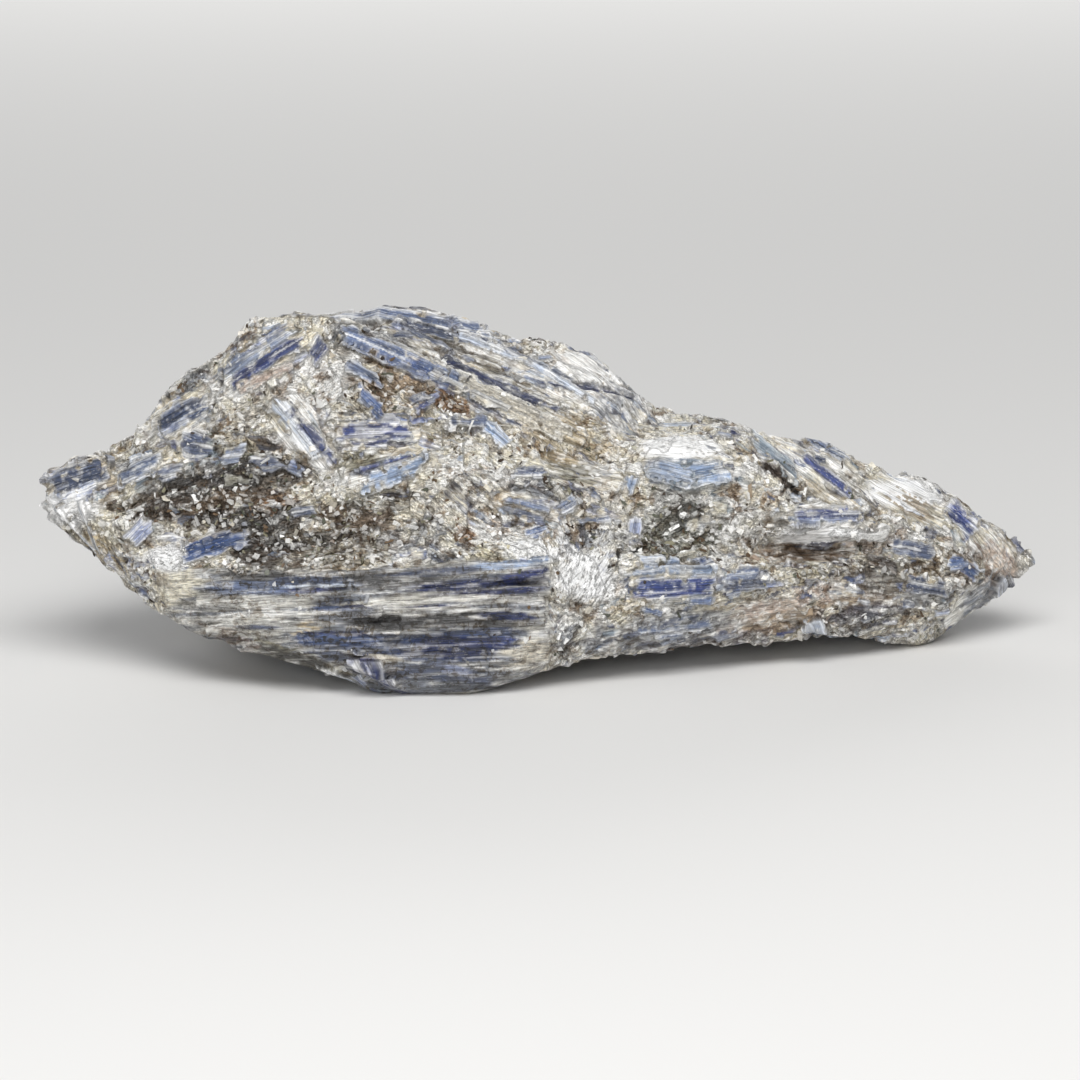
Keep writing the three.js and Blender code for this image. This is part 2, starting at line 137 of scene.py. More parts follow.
# patches of the ground between the blades: u, v, half width, half height, degrees, colour, strength
patches = [
    (-90, 34, 6, 4, -40, "cream", 0.9), (-88, 28, 7, 4, -45, "straw", 0.7),
    (-86, 47, 2, 1.6, 20, "straw", 0.9), (-74, 27, 5, 2.6, 0, "snow", 0.9),
    (-70.5, 62, 4, 4, 45, "steel", 0.8), (-68.5, 59.5, 4, 2, 20, "cream", 0.9),
    (-69.5, 51.8, 4, 1.6, 15, "snow", 0.9), (-60, 47, 4.5, 3.4, 0, "olive", 0.8),
    (-65, 48, 2, 2, 0, "teal", 0.8), (-62, 40, 20, 5.5, 3, "umber", 0.55),
    (-62, 38.5, 18, 4, 3, "brown", 0.75), (-53, 28.5, 9, 4, 0, "umber", 0.7),
    (-52, 38.5, 7, 1.4, 12, "rust", 0.8), (-39, 40.5, 11, 3, 0, "cream", 0.85),
    (-35, 34, 8, 3.2, 0, "brown", 0.8), (-37, 29, 9, 4, 0, "umber", 0.6),
    (-21, 35.5, 9, 8, 20, "bone", 0.8), (-15.5, 33.5, 1.8, 2.2, 0, "rust", 0.9),
    (-35, 46, 5.5, 2, 0, "olive", 0.7), (-27, 61.5, 9.5, 6, -20, "tan", 0.85),
    (-18, 58, 2.2, 2, 0, "rust", 0.9), (-6.5, 29, 9, 2, 2, "yolk", 0.9),
    (-6.5, 33, 4, 2.2, 0, "snow", 0.9), (2, 44.5, 10, 3.6, -5, "moss", 0.6),
    (2, 50, 11, 4, -10, "straw", 0.7), (8, 64, 13, 6.5, -25, "snow", 0.95),
    (16, 57, 4.5, 5, -50, "slate", 0.5), (9, 23.2, 6.4, 5, 5, "snow", 1),
    (28, 48.8, 9, 3, -2, "cream", 1), (29, 44, 9, 3, -4, "pale", 0.8),
    (28, 40.5, 7.5, 2.6, 0, "ash", 0.7), (27, 31.5, 7.5, 6.5, 0, "moss", 0.75),
    (41, 43, 5, 3.2, 0, "cream", 0.9), (42, 38.8, 4.4, 3, 0, "tan", 0.8),
    (54, 28.4, 9, 2.6, 0, "brown", 0.95), (43.5, 27.5, 3, 1.8, 0, "rust", 0.7),
    (55, 24, 6, 2.2, 0, "olive", 0.5), (48, 16, 13, 4, 17, "blush", 0.8),
    (74, 40, 12, 4.5, -27, "cream", 0.8), (76, 37.5, 5, 2.4, -27, "tan", 0.6),
    (67, 30, 5, 3.6, 0, "blush", 0.6), (67.5, 22.5, 6, 3.6, -10, "umber", 0.75),
    (63.5, 17.5, 7, 2.6, 5, "brown", 0.7), (77, 25.5, 4, 1.8, -20, "brown", 0.7),
    (93, 26, 5, 4, -50, "blush", 0.8), (91, 17.5, 8, 4, 35, "steel", 0.9),
    (16.5, 29.7, 2, 0.8, 0, "coal", 0.9), (15.8, 27, 2.6, 0.8, 0, "coal", 0.9),
    (49.5, 41.2, 4.6, 1.2, -38, "umber", 0.9), (12, 37, 7, 6, 0, "bone", 0.5),
    (-24.5, 29.5, 2.4, 2, 0, "lilac", 0.7), (60, 50, 6, 3, -30, "bone", 0.6),
    (-62, 43, 16, 3.4, 8, "smoke", 0.75), (-58, 34.5, 14, 2.6, 4, "smoke", 0.7),
    (-48, 31, 8, 2, 0, "coal", 0.6), (-30, 38.2, 10, 1.5, 5, "smoke", 0.6),
    (20, 12, 22, 3.4, 8, "steel", 0.75), (2, 40.5, 9, 2.2, -6, "steel", 0.8),
    (10, 31, 8, 2.4, 0, "steel", 0.7), (29, 34.5, 7, 3, 0, "smoke", 0.5),
    (70, 25.5, 6, 2, -12, "smoke", 0.5), (-36, 71.5, 14, 2.2, -12, "steel", 0.7),
    (-12, 66.5, 14, 1.2, -26, "smoke", 0.6), (-30, 78.5, 12, 1.4, -4, "slate", 0.8),
    (-24, 31, 6, 3, 10, "steel", 0.7), (52, 15, 14, 2, 12, "tan", 0.8),
    (66, 15.5, 9, 2.6, 4, "slate", 0.6), (78, 19, 6, 2, 0, "steel", 0.7),
    (30, 9.5, 16, 2, 8, "slate", 0.6), (-80, 46, 5, 2, 20, "steel", 0.8),
    (-77, 38, 6, 4, 10, "umber", 0.6), (86, 26, 6, 4, -30, "brown", 0.6),
    (56, 32, 11, 2.2, 2, "snow", 1), (-50, 70, 10, 3, 30, "cream", 0.8),
    (-74, 22, 5, 6, -50, "cream", 0.8), (72, 46, 8, 3, -28, "snow", 0.7),
    (-6, 46.5, 9, 3, -12, "cream", 0.8), (-58, 56, 8, 6, 30, "bone", 0.7),
    (-52, 77, 12, 3, 0, "cream", 0.6),
    # the fan of long laths
    (-52, 21.6, 15, 1.7, 2, "greyBlue", 0.9), (-56, 23.4, 8, 1.0, 1, "smoke", 0.9),
    (-44, 20.7, 7, 0.6, 1, "indigo", 1), (-46, 22.7, 8, 0.8, 2, "slate", 0.9),
    (-45, 21.6, 7, 0.35, 1, "frost", 0.9), (-29, 22.8, 9, 1.9, 3, "smoke", 0.85),
    (-21, 24.4, 11, 0.9, 4, "slate", 0.8), (-13, 22, 15, 1.1, 5, "navy", 1),
    (-3, 23.7, 5, 0.9, 15, "indigo", 1), (-11, 20.1, 13, 0.8, 4, "indigo", 0.9),
    (-4, 26.2, 8, 1.2, 8, "pale", 0.9), (-22, 18.7, 17, 0.8, 3, "chalk", 0.9),
    (-42, 18.4, 5, 0.7, 0, "slate", 0.8), (-41, 17, 5, 0.7, 0, "mid", 1),
    (-34.5, 17.2, 3, 0.45, 0, "indigo", 0.9), (-21, 17.5, 5, 0.4, 0, "indigo", 0.8),
    (-52, 16.1, 10, 0.45, 2, "snow", 1), (-17, 15.8, 9, 0.45, 3, "coal", 1),
    (-4, 15.6, 6, 0.9, -4, "navy", 1), (-29, 14.2, 9, 1.5, 0, "smoke", 0.9),
    (-14, 14.2, 10, 1.2, 0, "smoke", 0.9), (-10, 12.3, 7, 0.7, 2, "slate", 1),
    (-38, 10.7, 9, 1.6, -2, "mid", 1), (-38, 12.1, 9, 0.35, 0, "navy", 0.9),
    (-18, 9.4, 13, 2.9, 0, "deep", 1), (-16, 9.2, 10.5, 2.4, 0, "navy", 1),
    (-9.5, 10.3, 4.5, 1.2, 0, "royal", 0.8), (-32, 7.7, 5, 0.8, -5, "bone", 0.9),
    (-40, 7.6, 8, 1.6, -8, "slate", 0.7), (-22, 3.2, 14, 3, 0, "slate", 0.8),
    (-16, 5.0, 5, 0.8, -15, "lilac", 0.7), (-1.5, 8, 4.5, 3, 20, "bone", 0.8),
    (-58, 13.4, 11, 2.4, 2, "chalk", 0.7), (-57, 13.3, 5, 0.5, 0, "slate", 0.8),
    (-61, 10.9, 3, 0.5, -4, "slate", 0.8), (-46.5, 13.2, 1.4, 1.6, 0, "straw", 0.8),
    (-50, 7.6, 9, 1.3, -22, "olive", 0.8), (-60, 10, 9, 1.2, -30, "brown", 0.6),
    (-38, 3.6, 8, 1.2, -18, "olive", 0.7), (-58, 18.2, 14, 1.3, 2, "chalk", 0.7),
    (30, 43.5, 8.5, 3, -2, "teal", 0.9), (60, 32.8, 12, 1.2, 2, "snow", 1),
    (34, 48.8, 3, 2, 0, "cream", 1), (22, 48.5, 4, 1.8, 20, "cream", 1),
    (-44, 62, 7, 5, 20, "snow", 0.8), (-60, 61, 5, 3, 40, "snow", 0.8),
    (-12, 44, 8, 2, -12, "snow", 0.8), (-38, 42, 8, 1.6, 4, "snow", 0.9),
    (10, 52, 8, 3, -30, "straw", 0.6), (42, 44, 5, 2.6, 10, "snow", 0.9),
    (40, 34, 4, 4, 0, "snow", 0.7), (84, 38, 7, 1.6, -27, "snow", 0.8), (14, 33, 3, 3, 0, "snow", 0.6),
    (-46, 6, 12, 1.2, -20, "smoke", 0.7), (-30, 1.6, 16, 1.4, 0, "steel", 0.8),
]


# smoother places: u, v, half width, half height
calmPlaces = [
    (9, 23.2, 6, 5), (28, 49, 9, 3), (-94, 37, 6, 4), (-74, 27, 5, 3), (0, 28.5, 9, 2.5),
    (56, 31.5, 9, 2), (74, 40, 9, 3),
]


def calmAt(points, normals):
    place = drawn(points)
    calm = np.zeros(len(points))
    for u, v, halfWidth, halfHeight in calmPlaces:
        away = np.hypot((place[:, 0] - u) / halfWidth, (place[:, 1] - v) / halfHeight)
        calm = np.maximum(calm, 1 - smooth(away, 0.7, 1.2))
    return calm * smooth(-(normals @ sight), -0.25, 0.15)


# the fan: long laths combed one way across the lower front; the height of its upper edge along u
fanTop = np.array([(-76, 25), (-60, 24.8), (-38, 24.8), (0, 27.5), (6, 28)])


def fanAt(points, normals):
    place = drawn(points)
    below = np.interp(place[:, 0], fanTop[:, 0], fanTop[:, 1]) - place[:, 1]
    below = below + 0.8 * softNoise(points, 3.0, 43)
    within = smooth(below, -0.4, 0.6) * (1 - smooth(place[:, 0] + softNoise(points, 3.0, 44), 0.5, 3))
    return within * smooth(place[:, 0], -78, -72) * smooth(-(normals @ sight), -0.75, -0.4)


# other places where the laths lie side by side: u, v, half width, half height, degrees
combedPlaces = [
    (-26, 75, 22, 4.5, -9), (-12, 66, 24, 5, -25), (-6, 57.5, 18, 4, -25), (9, 63, 11, 7, -36),
    (17, 57, 6, 5, -55), (-55, 67, 12, 5, 32), (-72, 54, 8, 6, 30), (-47, 52, 9, 5, -50),
    (-93, 42, 9, 6, 20), (-33, 52, 10, 3.5, 2), (56, 46, 15, 5.5, -37), (57, 35, 10, 3, 3),
    (54, 28.5, 10, 3, 2), (27, 22, 10, 5, 2), (32, 13.5, 26, 4, 9), (30, 45.5, 10, 5, -3),
    (-31, 44.5, 9, 4, 17), (74, 39, 12, 4, -27), (68, 20, 12, 4, -3), (-2, 37, 8, 3.5, -15),
    (90, 17, 9, 5, 34), (93, 28, 7, 4, -50), (9, 44, 10, 3, -15),
]


# how far the laths are combed and which way
def combAt(points, normals):
    place = drawn(points)
    comb = fanAt(points, normals)
    turn = np.full(len(points), math.radians(2.5))
    frayed = 0.3 * softNoise(points, 2.5, 46)
    facing = smooth(-(normals @ sight), -0.5, -0.1)
    for u, v, halfWidth, halfHeight, degrees in combedPlaces:
        angle = math.radians(degrees)
        du, dv = place[:, 0] - u, place[:, 1] - v
        a = (du * math.cos(angle) + dv * math.sin(angle)) / halfWidth
        b = (dv * math.cos(angle) - du * math.sin(angle)) / halfHeight
        share = 0.9 * facing * (1 - smooth(np.hypot(a, b) + frayed, 0.75, 1.15))
        turn = np.where(share > comb, angle, turn)
        comb = np.maximum(comb, share)
    return comb, turn


# mottles of the ground, and larger ones of the back: colour, strength, size in mm, seed
groundMottles = [
    ("straw", 0.55, 6.0, 36), ("tan", 0.42, 4.5, 37), ("steel", 0.5, 6.0, 38), ("snow", 0.95, 4.0, 39),
]
backMottles = [
    ("snow", 0.8, 13, 31), ("brown", 0.7, 16, 32), ("straw", 0.7, 11, 33), ("olive", 0.5, 12, 34),
    ("greyBlue", 0.6, 14, 35),
]


# the colour of the ground at points of the surface; the back is mottled instead of drawn
def groundTone(points, normals):
    place = drawn(points)
    fan = fanAt(points, normals)
    comb, turn = combAt(points, normals)
    cosine, sine = np.cos(turn), np.sin(turn)
    along, across = place[:, 0] * cosine + place[:, 1] * sine, place[:, 1] * cosine - place[:, 0] * sine
    combed = np.stack([along / 9, across / 0.75, points[:, 1] / 6], axis=1)
    slip, rub = 3.5 * softNoise(combed, 1.0, 16), 0.35 * softNoise(combed, 1.0, 17)
    fray = np.stack([slip * cosine - rub * sine, slip * sine + rub * cosine], axis=1)
    fine = softNoise(combed * [2.2, 1.7, 1], 1.0, 20)
    wander = np.stack([softNoise(points, 5.0, 11), softNoise(points, 5.0, 12)], axis=1)
    wander += 0.6 * np.stack([softNoise(points, 1.8, 13), softNoise(points, 1.8, 14)], axis=1)
    place = place + 1.6 * wander * (1 - comb)[:, None] + fray * comb[:, None]
    broad = 0.5 + 0.5 * softNoise(points, 14.0, 15)
    tone = stoneColour["bone"] + (stoneColour["cream"] - stoneColour["bone"]) * broad[:, None]
    painted = np.zeros(len(points))
    facing = smooth(-(normals @ sight), -0.25, 0.15)
    for name, strength, size, seed in groundMottles:
        share = strength * smooth(softNoise(points, size, seed), 0.08, 0.35)
        tone += (stoneColour[name] - tone) * share[:, None]
    lighter = smooth(softNoise(combed, 1.0, 19), -0.3, 0.3)
    laths = stoneColour["steel"] + (stoneColour["ash"] - stoneColour["steel"]) * lighter[:, None]
    tone += (laths - tone) * fan[:, None]
    for u, v, halfWidth, halfHeight, degrees, name, strength in patches:
        turn = math.radians(degrees)
        du, dv = place[:, 0] - u, place[:, 1] - v
        a = (du * math.cos(turn) + dv * math.sin(turn)) / halfWidth
        b = (dv * math.cos(turn) - du * math.sin(turn)) / halfHeight
        within = 1 - smooth(np.hypot(a, b), 0.75, 1.2)
        share = min(1, 1.15 * strength) * np.maximum(facing, fan) * within
        tone += (stoneColour[name] - tone) * share[:, None]
        painted = np.maximum(painted, share)
    whiter = 0.6 * comb * (1 - 0.6 * painted) * smooth(fine, 0.15, 0.5)
    darker = (0.5 * fan + 0.35 * (comb - fan)) * smooth(-fine, 0.15, 0.5)
    tone += (stoneColour["snow"] - tone) * whiter[:, None]
    tone += (stoneColour["smoke"] - tone) * darker[:, None]
    facing = np.maximum(facing, fan)
    for name, strength, size, seed in backMottles:
        share = strength * (1 - facing) * smooth(softNoise(points, size, seed), 0.15, 0.4)
        tone += (stoneColour[name] - tone) * share[:, None]
    return tone, painted


# which way the grain of the stone runs: u, v, degrees, reach
grainGuides = [
    (-93, 42, 18, 9), (-88, 30, -42, 9), (-78, 45, 28, 9), (-70, 56, 30, 9), (-70, 64, 45, 6),
    (-55, 66, 32, 10), (-47, 52, -50, 7), (-62, 40, 8, 12), (-65, 30, 17, 8), (-60, 20, 2, 14),
    (-30, 22, 4, 16), (-20, 8, 0, 16), (-30, 74, -10, 10), (-25, 67, -28, 9), (-5, 58, -25, 14),
    (-28, 60, -35, 7), (-33, 51, 3, 8), (-30, 44, 18, 7), (-20, 35, -60, 9), (-5, 37, -15, 9),
    (5, 47, -20, 8), (8, 63, -35, 9), (17, 57, -55, 6), (9, 23, 80, 6), (28, 46, -5, 10),
    (25, 22, 2, 11), (27, 32, 20, 8), (45, 15, 15, 14), (50, 46, -38, 9), (57, 35, 3, 9),
    (54, 27, 2, 9), (74, 40, -27, 12), (72, 28, -12, 9), (66, 20, 0, 9), (86, 26, -36, 7),
    (96, 26, -52, 8), (88, 16, 32, 9),
]


def grainAngle(points):
    place = drawn(points)
    total = np.zeros((len(points), 2))
    for u, v, degrees, reach in grainGuides:
        share = np.exp(-((place[:, 0] - u) ** 2 + (place[:, 1] - v) ** 2) / (reach * reach))
        doubled = 2 * math.radians(degrees)  # a lath has no front end, so half a turn changes nothing
        total += share[:, None] * [math.cos(doubled), math.sin(doubled)]
    drift = np.stack([softNoise(points, 20.0, 41), softNoise(points, 20.0, 42)], axis=1)
    total += 0.02 * drift + [0.004, 0]
    return np.arctan2(total[:, 1], total[:, 0]) / 2, np.clip(np.linalg.norm(total, axis=1), 0, 1)


# a line across the stone: its heart, three ways and how it bows, from rays cast along inward
def bedOf(spot, along, inward, length, squareOn=0.35):
    reach = np.linspace(-0.5, 0.5, 7) * length
    hits = [cadTree.ray_cast(Vector(spot + along * s - inward * 60), Vector(inward), 120)
            for s in reach]
    found = [(s, hit) for s, hit in zip(reach, hits) if hit[0] is not None]
    if len(found) < 4:
        return None
    places = np.array([hit[0] for _, hit in found])
    s = np.array([entry[0] for entry in found])
    heart = places.mean(0)
    ahead = unit(((s - s.mean())[:, None] * (places - heart)).sum(0))
    normal = unit(np.array([hit[1] for _, hit in found]).mean(0)) * (1 - squareOn) - inward * squareOn
    out = unit(normal - ahead * (normal @ ahead))
    lift = (places - heart) @ out
    reachAhead = (places - heart) @ ahead
    bow = float(np.clip(np.polyfit(reachAhead, lift, 2)[0], -0.004, 0.002))
    rest = lift - bow * reachAhead ** 2
    if rest.max() - rest.min() > 0.8 + 0.1 * length:
        return None
    heart = heart + out * np.percentile(rest, 55) - ahead * s.mean()
    return heart, ahead, np.cross(out, ahead), out, bow


# core colour, margin colour, share of white streaks
kyaniteKinds = {
    "navy": ("navy", "mid", 0.12), "indigo": ("indigo", "mid", 0.2),
    "royal": ("royal", "pale", 0.22), "deep": ("deep", "greyBlue", 0.15),
    "mid": ("mid", "pale", 0.25), "slate": ("slate", "greyBlue", 0.2),
    "greyBlue": ("greyBlue", "frost", 0.25), "pale": ("pale", "frost", 0.3),
    "lilac": ("lilac", "frost", 0.3), "teal": ("teal", "frost", 0.3),
    "stripe": ("royal", "frost", 0.5), "frost": ("frost", "snow", 0.35),
    "snow": ("snow", "snow", 0.4), "cream": ("cream", "snow", 0.3), "bone": ("bone", "cream", 0.25),
    "blush": ("blush", "cream", 0.25), "ash": ("ash", "frost", 0.15),
    "umber": ("umber", "brown", 0.0), "olive": ("olive", "bone", 0.1),
}
slabs = []  # bed, length, width, kind, lift


def laySlab(bed, length, width, kind, lift):
    if bed is not None:
        slabs.append((*bed, length, width, kind, lift))


def layFront(u, v, degrees, length, width, kind, lift=0.5):
    turn = math.radians(degrees)
    spot = u * rightWay + (v + footRise) * drawUp
    along = math.cos(turn) * rightWay + math.sin(turn) * drawUp
    laySlab(bedOf(spot - 40 * sight, along, sight, length), length, width, kind, lift)


# the blades that stand out on the front: u, v, degrees, length, width, kind
frontBlades = [
    (-93, 43, 18, 13, 4.8, "slate"), (-93, 39.6, 22, 12, 2.4, "lilac"),
    (-94, 37.2, 25, 8, 1.8, "lilac"), (-80, 44.4, 24, 9, 3, "greyBlue"),
    (-71.2, 55.5, 28, 11, 4, "slate"), (-73, 53, 28, 8, 1.6, "lilac"),
    (-71, 50, 18, 6.5, 1.5, "indigo"), (-55.6, 68.4, 32, 17.5, 2.6, "greyBlue"),
    (-54.4, 66.2, 32, 17, 2.4, "indigo"), (-55, 62.8, 24, 11, 2.2, "blush"),
    (-44.2, 68.2, 55, 4.5, 3.2, "indigo"), (-48.2, 52.6, -50, 15.5, 3.4, "frost"),
    (-45.2, 51.2, -50, 13.5, 2.2, "indigo"), (-48.5, 45, -20, 3.6, 2.4, "mid"),
    (-64.2, 30, 17.5, 13, 4.5, "deep"), (-80, 32, 45, 5, 3.6, "lilac"),
    (-25.5, 75, -8, 33, 3.2, "greyBlue"), (-21, 72.4, -12, 18, 2.6, "slate"),
    (-15, 71.2, -14, 24, 2, "slate"), (-9, 69, -20, 22, 1.5, "frost"),
    (-20, 69.2, -27, 15, 1.3, "slate"), (-1, 66, -27, 17, 1.4, "slate"),
    (4, 62.5, -33, 15, 1.6, "frost"), (-28, 66.6, -24, 25, 3.8, "mid"),
    (-8.3, 61.6, -25.5, 23, 2.3, "navy"), (-5.5, 56.8, -25.5, 25, 4.2, "bone"),
    (-14, 60.2, -25, 16, 1.4, "ash"), (-33.8, 57.8, -45, 6.6, 3, "mid"),
    (-35, 63.5, -27, 7, 2, "greyBlue"), (-22.5, 57.8, 42, 6.8, 1.5, "royal"),
    (-24, 58.5, 20, 4.2, 2.4, "slate"), (-25, 54.5, 2, 12, 0.8, "royal"),
    (-33, 52.2, 2, 14, 3.4, "stripe"), (-33.5, 49.5, 3, 7.5, 1.8, "indigo"),
    (-14.2, 53.8, -3, 9, 2.4, "slate"), (-8.8, 51.5, -40, 6, 2.6, "pale"),
    (-29, 43.8, 18, 12.8, 3.4, "pale"), (-29.8, 45.9, 18, 11, 0.9, "indigo"),
    (-0.5, 32, 20, 4.6, 2.6, "mid"), (-2.5, 37.6, -15, 9, 1.4, "greyBlue"),
    (-3, 35.8, -15, 7, 1, "slate"), (-2, 44, 0, 6.6, 2, "slate"), (5.5, 37.5, 30, 4, 2.4, "greyBlue"),
    (11, 37, 0, 1.6, 1.4, "navy"), (26.6, 44.3, -14, 9, 4.2, "pale"), (33.6, 44.4, 10, 9, 4.2, "pale"),
    (17.8, 41.5, 70, 3.8, 2.4, "pale"), (18.8, 33.5, 85, 3.6, 2.4, "lilac"),
    (26.5, 24.4, 1, 17, 1.4, "pale"), (26.4, 21.2, 2, 16.5, 4, "royal"),
    (32.5, 26.2, 20, 3.6, 2.2, "mid"), (32, 18.7, 5, 4.6, 1.5, "mid"), (41.2, 22, 4, 8.8, 2.8, "slate"),
    (47, 21.8, 5, 4.4, 1.5, "lilac"), (57, 35.4, 3, 15, 3, "stripe"), (47, 47.4, -38, 11, 3, "teal"),
    (57.6, 43.5, -39, 14.5, 2.6, "stripe"), (58, 48.9, -27, 9.5, 2.6, "greyBlue"),
    (39, 52, 10, 2.6, 2.4, "indigo"), (27.5, 13, 8, 15, 3.2, "greyBlue"),
    (49.5, 12.2, 8, 5.2, 1, "indigo"), (53.5, 19.5, 8, 3.6, 1, "indigo"),
    (85.4, 35, -40, 7.5, 4, "stripe"), (91, 34.8, -4, 4, 1.4, "indigo"),
    (75, 29, -12, 10, 3.4, "slate"), (85.5, 25, -35, 6.4, 3.2, "mid"),
    (78, 21.5, -10, 8.6, 3.4, "slate"), (73.5, 18, -5, 5.2, 1.8, "slate"),
    (81.5, 16, 10, 3.4, 1.2, "lilac"), (70.5, 14, 5, 3.2, 1, "indigo"), (73, 11.5, 5, 4, 0.9, "indigo"),
    (88.8, 15.7, 35, 3, 1, "indigo"), (97.5, 29.5, -55, 3.4, 1, "indigo"),
    (-68, 49.6, -5, 7, 4.6, "slate"), (-61, 47.5, 10, 5, 3.4, "greyBlue"),
    (-54, 45.5, 5, 6, 3, "slate"), (-74, 44, 15, 6, 2.6, "slate"), (-60, 42.5, 0, 5, 2.2, "olive"),
    (-47, 36, 10, 5, 2, "slate"), (88, 35.6, 10, 3, 1.2, "indigo"), (84, 26, 10, 4, 2.8, "mid"),
    (67, 31.5, 5, 6, 2.8, "snow"), (69, 26, -20, 6, 2.6, "umber"), (40, 23.6, 3, 8, 2.8, "greyBlue"),
    (24, 26.2, 0, 10, 2, "pale"), (28, 14.6, 8, 8, 1.8, "slate"), (12, 34.6, 5, 9, 1.6, "greyBlue"),
]
# small blades between the large ones, and bundles of parallel ones round the back, the ends and below
cadCorners = np.array([cadPoints[face] for face in cadFaces if len(face) == 3])
cadNormals = np.cross(cadCorners[:, 1] - cadCorners[:, 0], cadCorners[:, 2] - cadCorners[:, 0])
cadAreas = np.linalg.norm(cadNormals, axis=1) / 2
cadNormals = unit(cadNormals)
cadHearts = cadCorners.mean(1)
cadFacing = -(cadNormals @ sight)


wildLook = {"small": 26, "bundles": 70, "bundleBlades": (4, 10)}
smallKinds = {
    "mid": 0.12, "greyBlue": 0.16, "pale": 0.14, "slate": 0.1, "frost": 0.14, "bone": 0.14,
    "cream": 0.14, "indigo": 0.06,
}
bundlePalettes = [
    ["mid", "greyBlue", "slate", "frost"], ["pale", "frost", "greyBlue", "snow"],
    ["indigo", "mid", "lilac", "frost"], ["cream", "bone", "snow", "pale"],
    ["navy", "deep", "greyBlue", "ash"],
]
weight = cadAreas * smooth(cadFacing, 0.1, 0.4)
for pick in rng.choice(len(cadHearts), wildLook["small"], p=weight / weight.sum()):
    spot, normal = cadHearts[pick], cadNormals[pick]
    u, v = drawn(spot[None])[0]
    turn = grainAngle(spot[None])[0][0] + rng.normal(0, 0.35)
    kind = rng.choice(list(smallKinds), p=list(smallKinds.values()))
    if not (v < 27 and u < 4):
        layFront(u, v, math.degrees(turn), rng.uniform(2.5, 7), rng.uniform(0.9, 2.2), kind, 0.5)
weight = cadAreas * (1 - smooth(cadFacing, -0.45, -0.1))
for pick in rng.choice(len(cadHearts), wildLook["bundles"], p=weight / weight.sum()):
    spot, normal = cadHearts[pick], cadNormals[pick]
    turn = rng.normal(0, 0.6)
    way = rightWay * math.cos(turn) + np.cross(normal, rightWay) * math.sin(turn)
    way = unit(way - normal * (way @ normal))
    side = np.cross(normal, way)
    palette = bundlePalettes[rng.integers(5)]
    across = 0
    for blade in range(rng.integers(*wildLook["bundleBlades"])):
        width = rng.uniform(1.4, 4.2)
        across += width * 0.9
        shift = way * rng.normal(0, 4) + side * (across - 8)
        ahead = unit(way + side * rng.normal(0, 0.04))
        length, kind = rng.uniform(6, 22), palette[rng.integers(4)]
        laySlab(bedOf(spot + shift, ahead, -normal, length), length, width, kind, rng.uniform(0.1, 0.6))
frontLonger, frontWider = 1.08, 1.22  # the large blades lap a little over the ground round them
for u, v, degrees, length, width, kind in frontBlades:
    layFront(u, v, degrees, frontLonger * length, frontWider * width, kind)
print("blades placed", len(slabs))


# the stone's body
bodyLook = {
    "voxel": 0.36, "restTriangles": 360000,
    "face": 6.5, "faceStep": 0.5, "clump": 3.6, "clumpStep": 1.2,
    "bundle": 8.0, "lath": np.array([8.0, 1.3, 1.3]), "lathStep": 0.32, "lathCrease": 0.05,
    "fibre": np.array([3.6, 0.65, 0.65]), "fibreStep": 0.2,
    "lump": 1.7, "lumpStep": 0.75, "sugar": 0.95, "sugarStep": 0.3, "missing": 0.05, "missingDrop": 0.8,
}

bodyMesh = bpy.data.meshes.new("stone_body")
cadMesh.to_mesh(bodyMesh)
cadMesh.free()
stoneBody = bpy.data.objects.new("stone_body", bodyMesh)
bpy.context.scene.collection.objects.link(stoneBody)


def baked(thing):
    mesh = bpy.data.meshes.new_from_object(thing.evaluated_get(bpy.context.evaluated_depsgraph_get()))
    thing.modifiers.clear()
    thing.data = mesh
    mesh.name = thing.name
    return mesh


remesh = stoneBody.modifiers.new("remesh", "REMESH")
remesh.mode = "VOXEL"
remesh.voxel_size = bodyLook["voxel"] * mm
bodyMesh = baked(stoneBody)
print("body remeshed", len(bodyMesh.polygons))


def pointsOf(mesh):
    flat = np.empty(len(mesh.vertices) * 3, np.float32)
    mesh.vertices.foreach_get("co", flat)
    return flat.reshape(-1, 3).astype(float) / mm


def normalsOf(mesh):
    flat = np.empty(len(mesh.vertices) * 3, np.float32)
    mesh.vertex_normals.foreach_get("vector", flat)
    return flat.reshape(-1, 3).astype(float)


def trianglesOf(mesh):
    mesh.calc_loop_triangles()
    flat = np.empty(len(mesh.loop_triangles) * 3, np.int32)
    mesh.loop_triangles.foreach_get("vertices", flat)
    return flat.reshape(-1, 3)


def setColour(mesh, name, colours):
    layer = mesh.color_attributes.new(name, "FLOAT_COLOR", "POINT")
    flat = np.ones((len(colours), 4), np.float32)
    flat[:, :3] = np.clip(colours, 0, 1.1)
    layer.data.foreach_set("color", flat.ravel())


def setVector(mesh, name, vectors):
    layer = mesh.attributes.new(name, "FLOAT_VECTOR", "POINT")
    layer.data.foreach_set("vector", np.ascontiguousarray(vectors, np.float32).ravel())


def setNumber(mesh, name, numbers):
    layer = mesh.attributes.new(name, "FLOAT", "POINT")
    layer.data.foreach_set("value", np.ascontiguousarray(numbers, np.float32))


